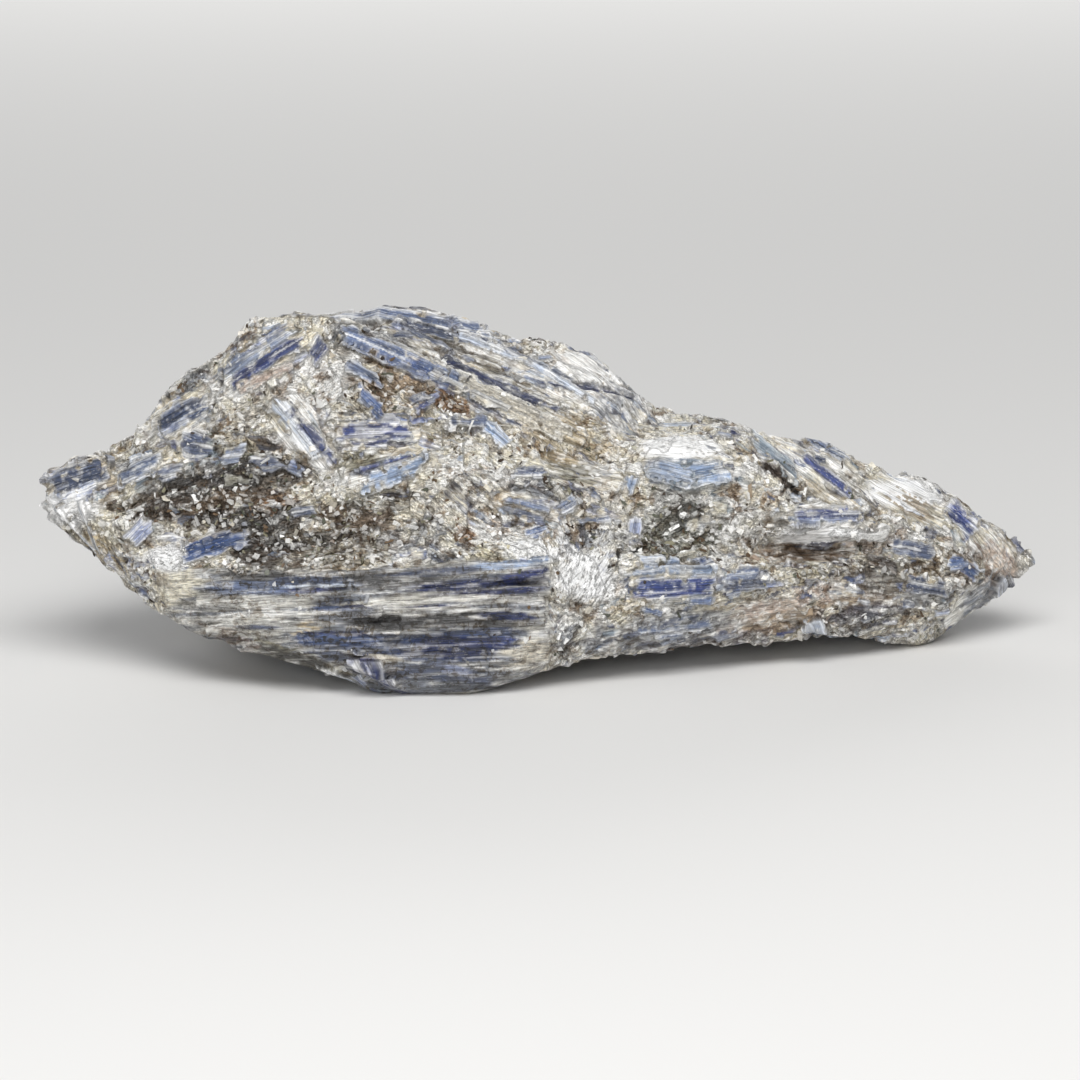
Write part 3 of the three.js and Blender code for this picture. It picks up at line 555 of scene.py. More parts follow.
# the stone grew as bundles of laths; each bundle has its own three ways
def bundlesOf(points, comb, combTurn):
    warp = 1.3 * np.stack([softNoise(points, 4.0, seed) for seed in (21, 22, 23)], axis=1)
    _, _, heart, chance = cellsOf(points + warp, bodyLook["bundle"], 51)
    turn, trust = grainAngle(heart)
    turn = turn + (chance[:, 0] - 0.5) * (0.5 + 2.4 * (1 - smooth(trust, 0.05, 0.5)))
    turn = np.where(comb > 0.5, combTurn, turn)
    lean = (chance[:, 1:2] - 0.5) * 0.7 * (comb[:, None] <= 0.5)
    way = unit(np.cos(turn)[:, None] * rightWay + np.sin(turn)[:, None] * drawUp + lean * sight)
    across = unit(np.cross(sight, way))
    return way, across, np.cross(way, across), chance


lathBlues = ("pale", "greyBlue", "teal", "frost", "greyBlue", "slate", "lilac", "mid")


# the ground between the blades: how far it stands out, its colour, its place along the laths
# and how blue it is
def groundRelief(points, normals):
    fan = fanAt(points, normals)
    comb, combTurn = combAt(points, normals)
    way, across, third, bundleChance = bundlesOf(points, comb, combTurn)
    shift = 9 * bundleChance[:, :3] * (comb[:, None] <= 0.5)
    local = np.stack([(points * axis).sum(1) for axis in (way, across, third)], axis=1) + shift
    bent = local + 0.35 * np.stack([softNoise(points, 2.2, seed) for seed in (24, 25, 26)], axis=1)
    coarse = np.choose((bundleChance[:, 3] * 2.99).astype(int), (0.7, 1.1, 1.8))[:, None]
    coarse = np.where(comb[:, None] > 0.5, 1.1, coarse)
    _, lathGap, lathHeart, lathChance = cellsOf(bent / coarse, bodyLook["lath"], 61)
    _, _, fibreHeart, fibreChance = cellsOf(bent, bodyLook["fibre"], 71)
    _, _, faceHeart, faceChance = cellsOf(points * [0.8, 1, 1.25], bodyLook["face"], 81)
    uneven = 0.3 * softNoise(points, 1.5, 27)[:, None]
    lumpAway, _, _, lumpChance = cellsOf(points + uneven, bodyLook["lump"], 91)
    grainy = smooth(softNoise(points, 9.0, 28) + 0.4 * softNoise(points, 3.0, 29), 0.15, 0.5)
    grainy = grainy * (1 - comb)
    fibred = 1 - 0.8 * grainy
    missing = (lathChance[:, 3] < bodyLook["missing"]) * (lathChance[:, 0] < 0.9)
    face = facetOf(points * [0.8, 1, 1.25], bodyLook["face"], faceHeart, faceChance, 1.6)
    lath = facetOf(bent / coarse, bodyLook["lath"], lathHeart, lathChance, 1.3)
    fibre = facetOf(bent, bodyLook["fibre"], fibreHeart, fibreChance, 2.0)
    rise = bodyLook["faceStep"] * face
    rise = rise + fibred * bodyLook["lathStep"] * lath
    rise = rise + (0.4 + 0.6 * fibred) * bodyLook["fibreStep"] * fibre
    rise = rise + grainy * bodyLook["lumpStep"] * (0.45 - lumpAway + 0.25 * (lumpChance[:, 0] - 0.5))
    rise = rise - bodyLook["lathCrease"] * fibred * (1 - smooth(lathGap, 0.0, 0.14))
    uneven = 0.4 * softNoise(points, 1.1, 30)[:, None]
    sugarAway, _, _, sugarChance = cellsOf(points + uneven, bodyLook["sugar"], 95)
    sugar = 0.5 - sugarAway + 0.7 * (sugarChance[:, 0] - 0.5)
    rise = rise + (0.35 + 0.65 * grainy) * bodyLook["sugarStep"] * sugar
    uneven = 0.9 * softNoise(points, 2.6, 31)[:, None]
    clumpAway, _, _, clumpChance = cellsOf(points + uneven, bodyLook["clump"], 97)
    clump = 0.45 - clumpAway + 0.3 * (clumpChance[:, 0] - 0.5)
    rise = rise + (0.3 + 0.7 * grainy) * bodyLook["clumpStep"] * clump
    rise = rise - bodyLook["missingDrop"] * missing * fibred
    # each lath takes the colour of the ground at its heart
    heart = lathHeart * coarse - shift
    heart = heart[:, :1] * way + heart[:, 1:2] * across + heart[:, 2:] * third
    heart = points + (heart - points) * (0.5 * (1 - comb))[:, None]
    tone, painted = groundTone(heart, normals)
    facing = smooth(-(normals @ sight), -0.25, 0.15)
    blueness = smooth(softNoise(heart, 9.0, 201) + 0.5 * softNoise(heart, 3.5, 202), -0.1, 0.6)
    blueShare = (0.16 + 0.3 * blueness + 0.12 * (1 - facing)) * (1 - 0.75 * painted)
    blue = lathChance[:, 1] < blueShare * fibred * (fan < 0.5)
    blues = np.array([stoneColour[name] for name in lathBlues])
    blueTone = blues[np.minimum((lathChance[:, 2] * len(blues)).astype(int), len(blues) - 1)]
    tone = tone + (blueTone - tone) * (blue * (0.45 + 0.5 * fibreChance[:, 2]))[:, None]
    tone = tone * (0.84 + 0.32 * np.where(grainy > 0.5, lumpChance[:, 1], lathChance[:, 3]))[:, None]
    tone = tone * (0.86 + 0.28 * np.where(grainy > 0.5, sugarChance[:, 1], fibreChance[:, 1]))[:, None]
    # clumps are whitest on top, partly a painted highlight, and stained where they meet, partly painted
    # shade in the low seams
    clumped = (1 - 0.8 * comb) * (1 - 0.6 * calmAt(points, normals))
    crown = smooth(-clumpAway + 0.5 * clumpChance[:, 1], -0.45, 0.1)
    crownWhiteAndHighlight = crown * smooth(clumpChance[:, 2], 0.25, 0.6) * smooth(tone.mean(1), 0.08, 0.35)
    seam = smooth(clumpAway + 0.35 * softNoise(points, 1.6, 45), 0.5, 0.85)
    seamStainAndShade = seam * smooth(clumpChance[:, 3], 0.2, 0.7)
    tone = tone + (stoneColour["cream"] * 1.04 - tone) * (0.85 * clumped * crownWhiteAndHighlight)[:, None]
    # the low seams between clumps darkened: brown stain and painted shade
    tone = tone * (1 - 0.58 * (clumped * seamStainAndShade)[:, None] * [0.86, 1.0, 1.12])
    pale = smooth(tone.mean(1), 0.12, 0.55)
    frost = (0.25 + 0.5 * sugarChance[:, 1]) * (1 - 0.7 * fan)
    frosted = (sugarChance[:, 2] < 0.015 + 0.34 * pale) * frost
    tone = tone + (stoneColour["snow"] - tone) * frosted[:, None]
    rise = rise * (1 - 0.7 * calmAt(points, normals)) * (1 - 0.55 * fan) * (1 - 0.35 * comb)
    return rise, tone, local, np.maximum(blue, np.clip(1.4 * comb, 0, 1))


bladeLook = {"terrace": 0.1, "pit": 0.12, "crumbs": 1.6}
dullKinds = ("snow", "cream", "bone", "blush", "umber", "olive")


# lay the blades into the ground one over another: each flattens the surface and takes its own colour
def layBlades(points, normals, rise, tone, place, blue):
    order = np.argsort(points[:, 0])
    inverse = np.argsort(order)
    sortedPoints, sortedNormals = points[order], normals[order]
    rise, tone, place, blue = rise[order], tone[order], place[order], blue[order]
    clear = np.ones(len(points))
    crumbs = softNoise(sortedPoints, 2.4, 601) + 0.8 * softNoise(sortedPoints, 0.9, 602)
    for number, (heart, along, across, out, bow, length, width, kind, lift) in enumerate(slabs):
        reach = length / 2 + width / 2 + 1
        first, last = np.searchsorted(sortedPoints[:, 0], [heart[0] - reach, heart[0] + reach])
        away = sortedPoints[first:last] - heart
        a, b = away @ along, away @ across
        c = away @ out - bow * a * a
        beside = (np.abs(a) < length / 2 + 0.6) & (np.abs(b) < width / 2 + 0.4)
        close = np.nonzero(beside & (np.abs(c) < 1.2 + 0.1 * length))[0]
        if len(close) == 0:
            continue
        at = close + first
        a, b, c = a[close], b[close], c[close]
        mark = np.full(len(a), number * 3.1)
        wave = softNoise(np.stack([a / 2.6, b / 1.0, mark], axis=1), 1.0, 401)
        ripple = softNoise(np.stack([a / 0.9, b / 0.6, mark], axis=1), 1.0, 402)
        # cleavage strips share a level, slanted ends and sometimes a break
        strips = max(1, round(width / rng.uniform(0.6, 1.3)))
        seams = np.sort(rng.uniform(-0.5, 0.5, strips - 1)) * width
        stripOf = np.clip(np.searchsorted(seams, b + 0.15 * wave), 0, strips - 1)
        level = np.cumsum(rng.normal(0, bladeLook["terrace"], strips))
        level -= level.mean()
        jag = min(0.05 * length, 1.0)
        right = length / 2 + rng.normal(0, jag, strips) - 0.5 * jag
        left = -length / 2 + rng.normal(0, jag, strips) + 0.5 * jag
        slant = rng.normal(0, 0.4)
        breakAt = rng.uniform(-0.4, 0.4, strips) * length
        drop = rng.uniform(0.15, 0.4, strips) * (rng.random(strips) < 0.3) * rng.choice([-1, 1], strips)
        high = lift + level[stripOf] + rng.normal(0, 0.05) * b + rng.normal(0, 0.015) * a + 0.1 * wave
        high -= np.abs(drop[stripOf]) * (drop[stripOf] * (a - breakAt[stripOf]) > 0)
        pitted = smooth(ripple, 0.3, 0.55)
        high -= bladeLook["pit"] * pitted
        toEnd = np.minimum(right[stripOf] + slant * b - a, a - slant * b - left[stripOf])
        toEnd = toEnd + (0.5 if length < 12 else 0.15) * ripple
        toSide = width / 2 * (0.95 + 0.35 * wave) + 0.15 * ripple - np.abs(b)
        gap = np.minimum(toEnd, toSide)
        gap -= bladeLook["crumbs"] * smooth(crumbs[at], 0.35, 0.9) * (0.2 + 0.14 * width)
        inside = smooth(gap, -0.3, 0.3) * smooth(sortedNormals[at] @ out, 0.15, 0.5)
        climb = (high - c) / np.maximum(sortedNormals[at] @ out, 0.45)
        climb = np.clip(climb, -1.6, 1.6)
        rise[at] += (climb - rise[at]) * inside
        # colour: pale margins, streaks down the length and white wear in the pits
        coreName, marginName, white = kyaniteKinds[kind]
        core, margin = stoneColour[coreName], stoneColour[marginName]
        columns = np.floor((b / width + 0.5) * max(2, width / 0.45)).astype(int) + 60
        columnChance = rng.random((140, 3))[np.clip(columns, 0, 139)]
        edge = (1 - smooth(gap, 0.05, 0.15 + 0.22 * width)) * smooth(ripple + 0.6 * wave, -0.5, 0.5)
        mix = 0.5 * edge + 0.45 * (columnChance[:, 0] - 0.35) + 0.35 * wave + rng.normal(0, 0.08)
        bladeTone = core + (margin - core) * np.clip(mix, 0, 1)[:, None]
        whitened = (columnChance[:, 1] < white) * smooth(wave, -0.3, 0.3) * 0.5
        whitened = whitened + 0.4 * pitted * (0.3 + white) + 0.12 * edge
        whitened = np.clip(whitened + 0.25 * smooth(crumbs[at], 0.2, 0.8), 0, 0.7)
        bladeTone = bladeTone + (stoneColour["snow"] - bladeTone) * whitened[:, None]
        bladeTone = bladeTone * (0.68 + 0.56 * columnChance[:, 2] + rng.normal(0, 0.05))[:, None]
        own = inside > 0.5
        mine = at[own]
        hold = smooth(gap + 0.3 * ripple, -0.1, 0.12 + 0.14 * width) * (inside > 0.35)
        tone[at] += (bladeTone - tone[at]) * hold[:, None]
        place[mine] = np.stack([a, b, mark], axis=1)[own]
        blue[mine] = 0.35 if kind in dullKinds else 1.0
        clear[mine] = 0.0
    return rise[inverse], tone[inverse], place[inverse], blue[inverse], clear[inverse]


smoothPoints = pointsOf(bodyMesh)
smoothNormals = normalsOf(bodyMesh)
rise, tone, place, blue = groundRelief(smoothPoints, smoothNormals)
print("ground shaped")
rise, tone, place, blue, clear = layBlades(smoothPoints, smoothNormals, rise, tone, place, blue)
print("blades laid in")
edgeEnds = np.empty(len(bodyMesh.edges) * 2, np.int32)
bodyMesh.edges.foreach_get("vertices", edgeEnds)
edgeEnds = edgeEnds.reshape(-1, 2)
joined = np.bincount(edgeEnds.ravel(), minlength=len(smoothPoints))


# values of the surface's points shared out with their neighbours
def sharedOut(values, turns):
    first, second = edgeEnds.T
    for _ in range(turns):
        total = np.bincount(first, values[second], len(values))
        total = total + np.bincount(second, values[first], len(values))
        values = 0.3 * values + 0.7 * total / joined
    return values


rise += (sharedOut(rise, 2) - rise) * (0.35 + 0.45 * clear)
rise *= smooth(smoothPoints[:, 2], 0.1, 2.5)
moved = smoothPoints + smoothNormals * rise[:, None]
moved[:, 2] = np.maximum(moved[:, 2], np.where(smoothPoints[:, 2] < 0.05, smoothPoints[:, 2], 0.02))

# how far each point stands above its neighbours: worn white on the edges, partly a painted highlight,
# and in the hollows painted shade mixed with brown dirt
near = sharedOut(rise, 3)
broad = sharedOut(near, 31)
stand = 0.5 * (rise - near) + 0.9 * (rise - broad)
hollow = sharedOut(smooth(broad - rise, 0.08, 0.6), 3)
pale = smooth(tone.mean(1), 0.1, 0.5)
dirtPatches = softNoise(smoothPoints, 7.0, 502) + 0.5 * softNoise(smoothPoints, 2.5, 503)
dirtShare = smooth(dirtPatches, -0.5, 0.6)
rightClean = smooth(smoothPoints[:, 0], 5, 30) * smooth(-(smoothNormals @ sight), -0.25, 0.15)
dirtShare *= 1 - 0.45 * rightClean
# painted shade: the deeper a point lies below its neighbours, the darker it is made, mixed with real
# tan and umber dirt
hollowShadeAndDirt = hollow * (0.45 + 0.45 * dirtShare) * (1 - 0.25 * pale) * (0.35 + 0.65 * clear)
# raised points whitened: partly wear, partly a painted highlight on the crests
wearAndHighlight = smooth(stand + 0.08 * softNoise(smoothPoints, 0.8, 501), 0.08, 0.4)
wearAndHighlight = wearAndHighlight * (0.2 + 0.4 * clear + 0.25 * pale)
shadeAndDirtColour = stoneColour["tan"] + (stoneColour["umber"] - stoneColour["tan"]) * dirtShare[:, None]
calm = calmAt(smoothPoints, smoothNormals)
# pale calm places lifted toward and past white: painted light that makes them brighter than the stone's
# own colour
tone = tone + (1.12 - tone) * (0.85 * calm * smooth(tone.mean(1), 0.35, 0.6))[:, None]
hollowShadeAndDirt *= 1 - 0.8 * calm
stainShare = (0.16 + 0.55 * dirtShare + 0.6 * (1 - pale)) * (1 - 0.85 * calm) * (0.4 + 0.6 * clear)
# hollows darkened: painted shade together with dirt
tone = tone + (shadeAndDirtColour - tone) * hollowShadeAndDirt[:, None]
tone = tone + (stoneColour["snow"] - tone) * wearAndHighlight[:, None]
bodyMesh.vertices.foreach_set("co", (moved * mm).astype(np.float32).ravel())
setColour(bodyMesh, "tone", tone)
setVector(bodyMesh, "place", place)
setNumber(bodyMesh, "blue", blue)
setNumber(bodyMesh, "dirty", stainShare)
bodyMesh.update()

# thin the mesh out away from the front
backGroup = stoneBody.vertex_groups.new(name="thin_out")
facingNow = smooth(-(smoothNormals @ sight), -0.35, -0.05)
backGroup.add(np.nonzero(facingNow < 0.5)[0].tolist(), 1.0, "REPLACE")
allCount = len(trianglesOf(bodyMesh))
frontCount = int(allCount * (facingNow >= 0.5).mean())
thin = stoneBody.modifiers.new("thin_out", "DECIMATE")
thin.ratio = min(1.0, (frontCount + bodyLook["restTriangles"]) / allCount)
thin.vertex_group = "thin_out"
thin.vertex_group_factor = 1.0
print("body full", allCount, "front", frontCount)
bodyMesh = baked(stoneBody)
bodyPoints = pointsOf(bodyMesh)
bodyNormals = normalsOf(bodyMesh)
bodyTriangles = trianglesOf(bodyMesh)


def readBack(name, kind, size):
    flat = np.empty(len(bodyPoints) * size, np.float32)
    bodyMesh.attributes[name].data.foreach_get(kind, flat)
    return flat.reshape(-1, size)


bodyTone, bodyPlace = readBack("tone", "color", 4)[:, :3], readBack("place", "vector", 3)
bodyBlue, bodyDirty = readBack("blue", "value", 1)[:, 0], readBack("dirty", "value", 1)[:, 0]
print("body thinned", len(bodyTriangles))


# one piece of the body's surface
def surfacePiece(name, chosen):
    used, corners = np.unique(bodyTriangles[chosen], return_inverse=True)
    corners = corners.reshape(-1, 3)
    mesh = bpy.data.meshes.new(name)
    mesh.vertices.add(len(used))
    mesh.vertices.foreach_set("co", (bodyPoints[used] * mm).astype(np.float32).ravel())
    mesh.loops.add(corners.size)
    mesh.loops.foreach_set("vertex_index", corners.astype(np.int32).ravel())
    mesh.polygons.add(len(corners))
    mesh.polygons.foreach_set("loop_start", (np.arange(len(corners)) * 3).astype(np.int32))
    mesh.update(calc_edges=True)
    mesh.shade_flat()
    setColour(mesh, "tone", bodyTone[used])
    setVector(mesh, "place", bodyPlace[used])
    setNumber(mesh, "blue", bodyBlue[used])
    setNumber(mesh, "dirty", bodyDirty[used])
    piece = bpy.data.objects.new(name, mesh)
    bpy.context.scene.collection.objects.link(piece)
    print(name, len(corners))
    return piece


heartOf = bodyPoints[bodyTriangles].mean(1)
normalOf = bodyNormals[bodyTriangles].mean(1)
isFront = -(normalOf @ sight) > -0.2
surfacePieces = []
sides = (("front", isFront, ("left", "middle", "right")), ("back", ~isFront, ("left", "right")))
for side, chosen, names in sides:
    cuts = np.quantile(heartOf[chosen, 0], np.linspace(0, 1, len(names) + 1))
    cuts[0], cuts[-1] = -200, 200
    for name, low, high in zip(names, cuts[:-1], cuts[1:]):
        within = chosen & (heartOf[:, 0] >= low) & (heartOf[:, 0] < high)
        surfacePieces.append(surfacePiece(f"{side}_{name}", within))
bpy.data.objects.remove(stoneBody)


# many small closed shapes as one joined mesh
def meshFrom(name, corners, faces, tone, place):
    count, size = corners.shape[:2]
    corners[..., 2] = np.maximum(corners[..., 2], 0.05)
    allFaces = (faces[None] + (np.arange(count) * size)[:, None, None]).reshape(-1, faces.shape[1])
    mesh = bpy.data.meshes.new(name)
    mesh.vertices.add(count * size)
    mesh.vertices.foreach_set("co", (corners * mm).astype(np.float32).ravel())
    mesh.loops.add(allFaces.size)
    mesh.loops.foreach_set("vertex_index", allFaces.astype(np.int32).ravel())
    mesh.polygons.add(len(allFaces))
    starts = np.arange(len(allFaces)) * faces.shape[1]
    mesh.polygons.foreach_set("loop_start", starts.astype(np.int32))
    mesh.update(calc_edges=True)
    mesh.validate()
    mesh.shade_flat()
    setColour(mesh, "tone", np.repeat(tone, size, axis=0))
    setVector(mesh, "place", place.reshape(-1, 3))
    piece = bpy.data.objects.new(name, mesh)
    bpy.context.scene.collection.objects.link(piece)
    return piece


corners = bodyPoints[bodyTriangles]
faceNormals = np.cross(corners[:, 1] - corners[:, 0], corners[:, 2] - corners[:, 0])
faceAreas = np.linalg.norm(faceNormals, axis=1) / 2
faceHearts = corners.mean(1)
facePlace = drawn(faceHearts)
openGround = np.where(bodyBlue[bodyTriangles].max(1) > 0.3, 0.05, 1.0)
print("surface", round(faceAreas.sum() / 100), "cm2")


# spots on the surface and the way out of it at each
def scatter(count, keep):
    weight = faceAreas * openGround * keep
    picks = rng.choice(len(faceAreas), count, p=weight / weight.sum())
    a, b = rng.random((2, count, 1))
    a, b = np.where(a + b > 1, 1 - a, a), np.where(a + b > 1, 1 - b, b)
    first, second, third = corners[picks].transpose(1, 0, 2)
    spots = first + a * (second - first) + b * (third - first)
    return spots, unit(bodyNormals[bodyTriangles[picks]].mean(1))


# the grain's way on the surface, with some scatter of its own, pitched and rolled
def grainWays(spots, out, spread, pitch):
    count = len(spots)
    turn, trust = grainAngle(spots)
    turn = turn + rng.normal(0, 1, count) * (spread + 0.9 * (1 - smooth(trust, 0.05, 0.5)))
    way = np.cos(turn)[:, None] * rightWay + np.sin(turn)[:, None] * drawUp
    way = unit(way - out * (way * out).sum(1, keepdims=True) + out * rng.normal(0, pitch, (count, 1)))
    across = np.cross(out, way) + out * rng.normal(0, 2 * pitch, (count, 1))
    across = unit(across - way * (across * way).sum(1, keepdims=True))
    return way, across, np.cross(way, across)


# closed shapes whose corners are moved about: a block and a six-sided plate
turns = np.arange(6) * math.pi / 3
chipShapes = {
    "block": (np.array([(a, b, c) for a in (-1, 1) for b in (-1, 1) for c in (-1, 1)], float),
              np.array([(0, 1, 3, 2), (4, 6, 7, 5), (0, 4, 5, 1), (2, 3, 7, 6), (0, 2, 6, 4),
                        (1, 5, 7, 3)])),
    "plate": (np.array([(math.cos(t), math.sin(t), z) for z in (-1, 1) for t in turns]),
              np.array([(n, (n + 1) % 6, 6 + (n + 1) % 6, 6 + n) for n in range(6)]
                       + [(0, 5, 4, 3), (0, 3, 2, 1), (6, 7, 8, 9), (6, 9, 10, 11)])),
}


def chipPiece(name, shape, look, tones, keep):
    count = look["count"]
    spots, out = scatter(count, keep)
    way, across, up = grainWays(spots, out, look["spread"], look["pitch"])
    long, wide, thick = look["size"]
    half = np.stack([(rng.gamma(2.5, long / 2.5, count) + look["least"]) / 2,
                     rng.uniform(0.4, 1.6, count) * wide / 2,
                     rng.uniform(0.5, 1.5, count) * thick / 2], axis=1)
    spots = spots + up * (look["lift"] * rng.uniform(-1, 1, (count, 1)) - half[:, 2:] * look["bury"])
    signs, faces = chipShapes[shape]
    local = signs[None] * half[:, None] * rng.uniform(0.62, 1.15, (count, len(signs), 1))
    local[..., 0] += look["slant"] * half[:, None, 1] * rng.uniform(-1, 1, (count, len(signs)))
    corner = spots[:, None] + local[..., :1] * way[:, None]
    corner = corner + local[..., 1:2] * across[:, None] + local[..., 2:] * up[:, None]
    return meshFrom(name, corner, faces, tones(spots, out), rng.uniform(0, 90, (count, 1, 3)) + local)


# some whitened, each a little lighter or darker than its neighbours
def wornTone(tone, white, spread):
    count = len(tone)
    lighten = (rng.random((count, 1)) < white) * rng.uniform(0.3, 0.9, (count, 1))
    tone = tone + (stoneColour["snow"] - tone) * lighten
    return tone * rng.uniform(1 - spread, 1 + spread, (count, 1))


def quartzTones(spots, out):
    return wornTone(groundTone(spots, out)[0], 0.72, 0.2)


micaShares = {
    "umber": 0.24, "brown": 0.2, "ash": 0.16, "olive": 0.18, "moss": 0.14, "snow": 0.02, "bone": 0.06,
}


def micaTones(spots, out):
    colours = np.array([stoneColour[name] for name in micaShares])
    picks = rng.choice(len(colours), len(spots), p=list(micaShares.values()))
    return wornTone(colours[picks], 0.12, 0.25)


# where the mica lies thickest: u, v, half width, half height
micaPlaces = [
    (-62, 39, 20, 6), (-50, 29, 14, 4), (2, 44, 11, 5), (27, 32, 9, 8), (54, 28, 10, 4), (67, 22, 7, 5),
]
openPlaces = 1 - calmAt(faceHearts, unit(faceNormals))
openPlaces *= np.where(np.abs(unit(faceNormals) @ sight) < 0.35, 0.1, 1.0)
micaShare = smooth(softNoise(faceHearts, 8.0, 301), -0.1, 0.5) + 0.12
for u, v, halfWidth, halfHeight in micaPlaces:
    across, up = (facePlace[:, 0] - u) / halfWidth, (facePlace[:, 1] - v) / halfHeight
    micaShare = micaShare + 1.6 * np.exp(-across ** 2 - up ** 2)
chipLook = {
    "quartz": {"count": 1500, "size": (0.8, 0.7, 0.7), "least": 0.3, "spread": 0.9, "pitch": 0.3,
               "lift": 0.12, "bury": 0.4, "slant": 0.5},
    "mica": {"count": 1500, "size": (0.9, 0.9, 0.14), "least": 0.3, "spread": 0.8, "pitch": 0.4,
             "lift": 0.15, "bury": 0.0, "slant": 0.2},
}
quartzBlocks = chipPiece("quartz_blocks", "block", chipLook["quartz"], quartzTones, openPlaces)
micaFlakes = chipPiece("mica_flakes", "plate", chipLook["mica"], micaTones, micaShare * openPlaces)
print("chips made")


def addNode(tree, kind, settings=None, **inputs):
    node = tree.nodes.new("ShaderNode" + kind)
    for name, value in (settings or {}).items():
        setattr(node, name, value)
    for name, value in inputs.items():
        numbered = name[0] == "n" and name[1:].isdigit()
        socket = node.inputs[int(name[1:]) if numbered else name.replace("_", " ")]
        if isinstance(value, bpy.types.NodeSocket):
            tree.links.new(value, socket)
        else:
            socket.default_value = value
    return node


def newMaterial(name):
    material = bpy.data.materials.new(name)
    material.use_nodes = True
    tree = material.node_tree
    tree.nodes.clear()
    shader = addNode(tree, "BsdfPrincipled")
    addNode(tree, "OutputMaterial", None, Surface=shader.outputs[0])
    return material, tree, shader


def scaledColour(tree, colour, share):
    return addNode(tree, "VectorMath", {"operation": "SCALE"}, n0=colour, Scale=share).outputs[0]


def scaledNumber(tree, value, share):
    return addNode(tree, "Math", {"operation": "MULTIPLY"}, n0=value, n1=share).outputs[0]


def ranged(tree, value, low, high, outLow, outHigh):
    return addNode(tree, "MapRange", None, Value=value, n1=low, n2=high, n3=outLow,
                   n4=outHigh).outputs[0]


def mixed(tree, share, first, second):
    return addNode(tree, "Mix", {"data_type": "FLOAT"}, n0=share, n2=first, n3=second).outputs[0]


# small crystal faces: a level and a lean for each cell, and a chance for its shade
def crystalFaces(tree, spot, scale, lean):
    sized = addNode(tree, "Mapping", None, Vector=spot, Scale=scale).outputs[0]
    cells = addNode(tree, "TexVoronoi", None, Vector=sized, Scale=1.0)
    away = addNode(tree, "VectorMath", {"operation": "SUBTRACT"}, n0=sized,
                   n1=cells.outputs["Position"]).outputs[0]
    tilt = addNode(tree, "VectorMath", {"operation": "SUBTRACT"}, n0=cells.outputs["Color"],
                   n1=(0.5, 0.5, 0.5)).outputs[0]
    slope = addNode(tree, "VectorMath", {"operation": "DOT_PRODUCT"}, n0=away, n1=tilt).outputs["Value"]
    parts = addNode(tree, "SeparateColor", None, Color=cells.outputs["Color"])
    height = addNode(tree, "Math", {"operation": "MULTIPLY_ADD"}, n0=slope, n1=lean,
                     n2=parts.outputs[0]).outputs[0]
    return height, parts.outputs[1]


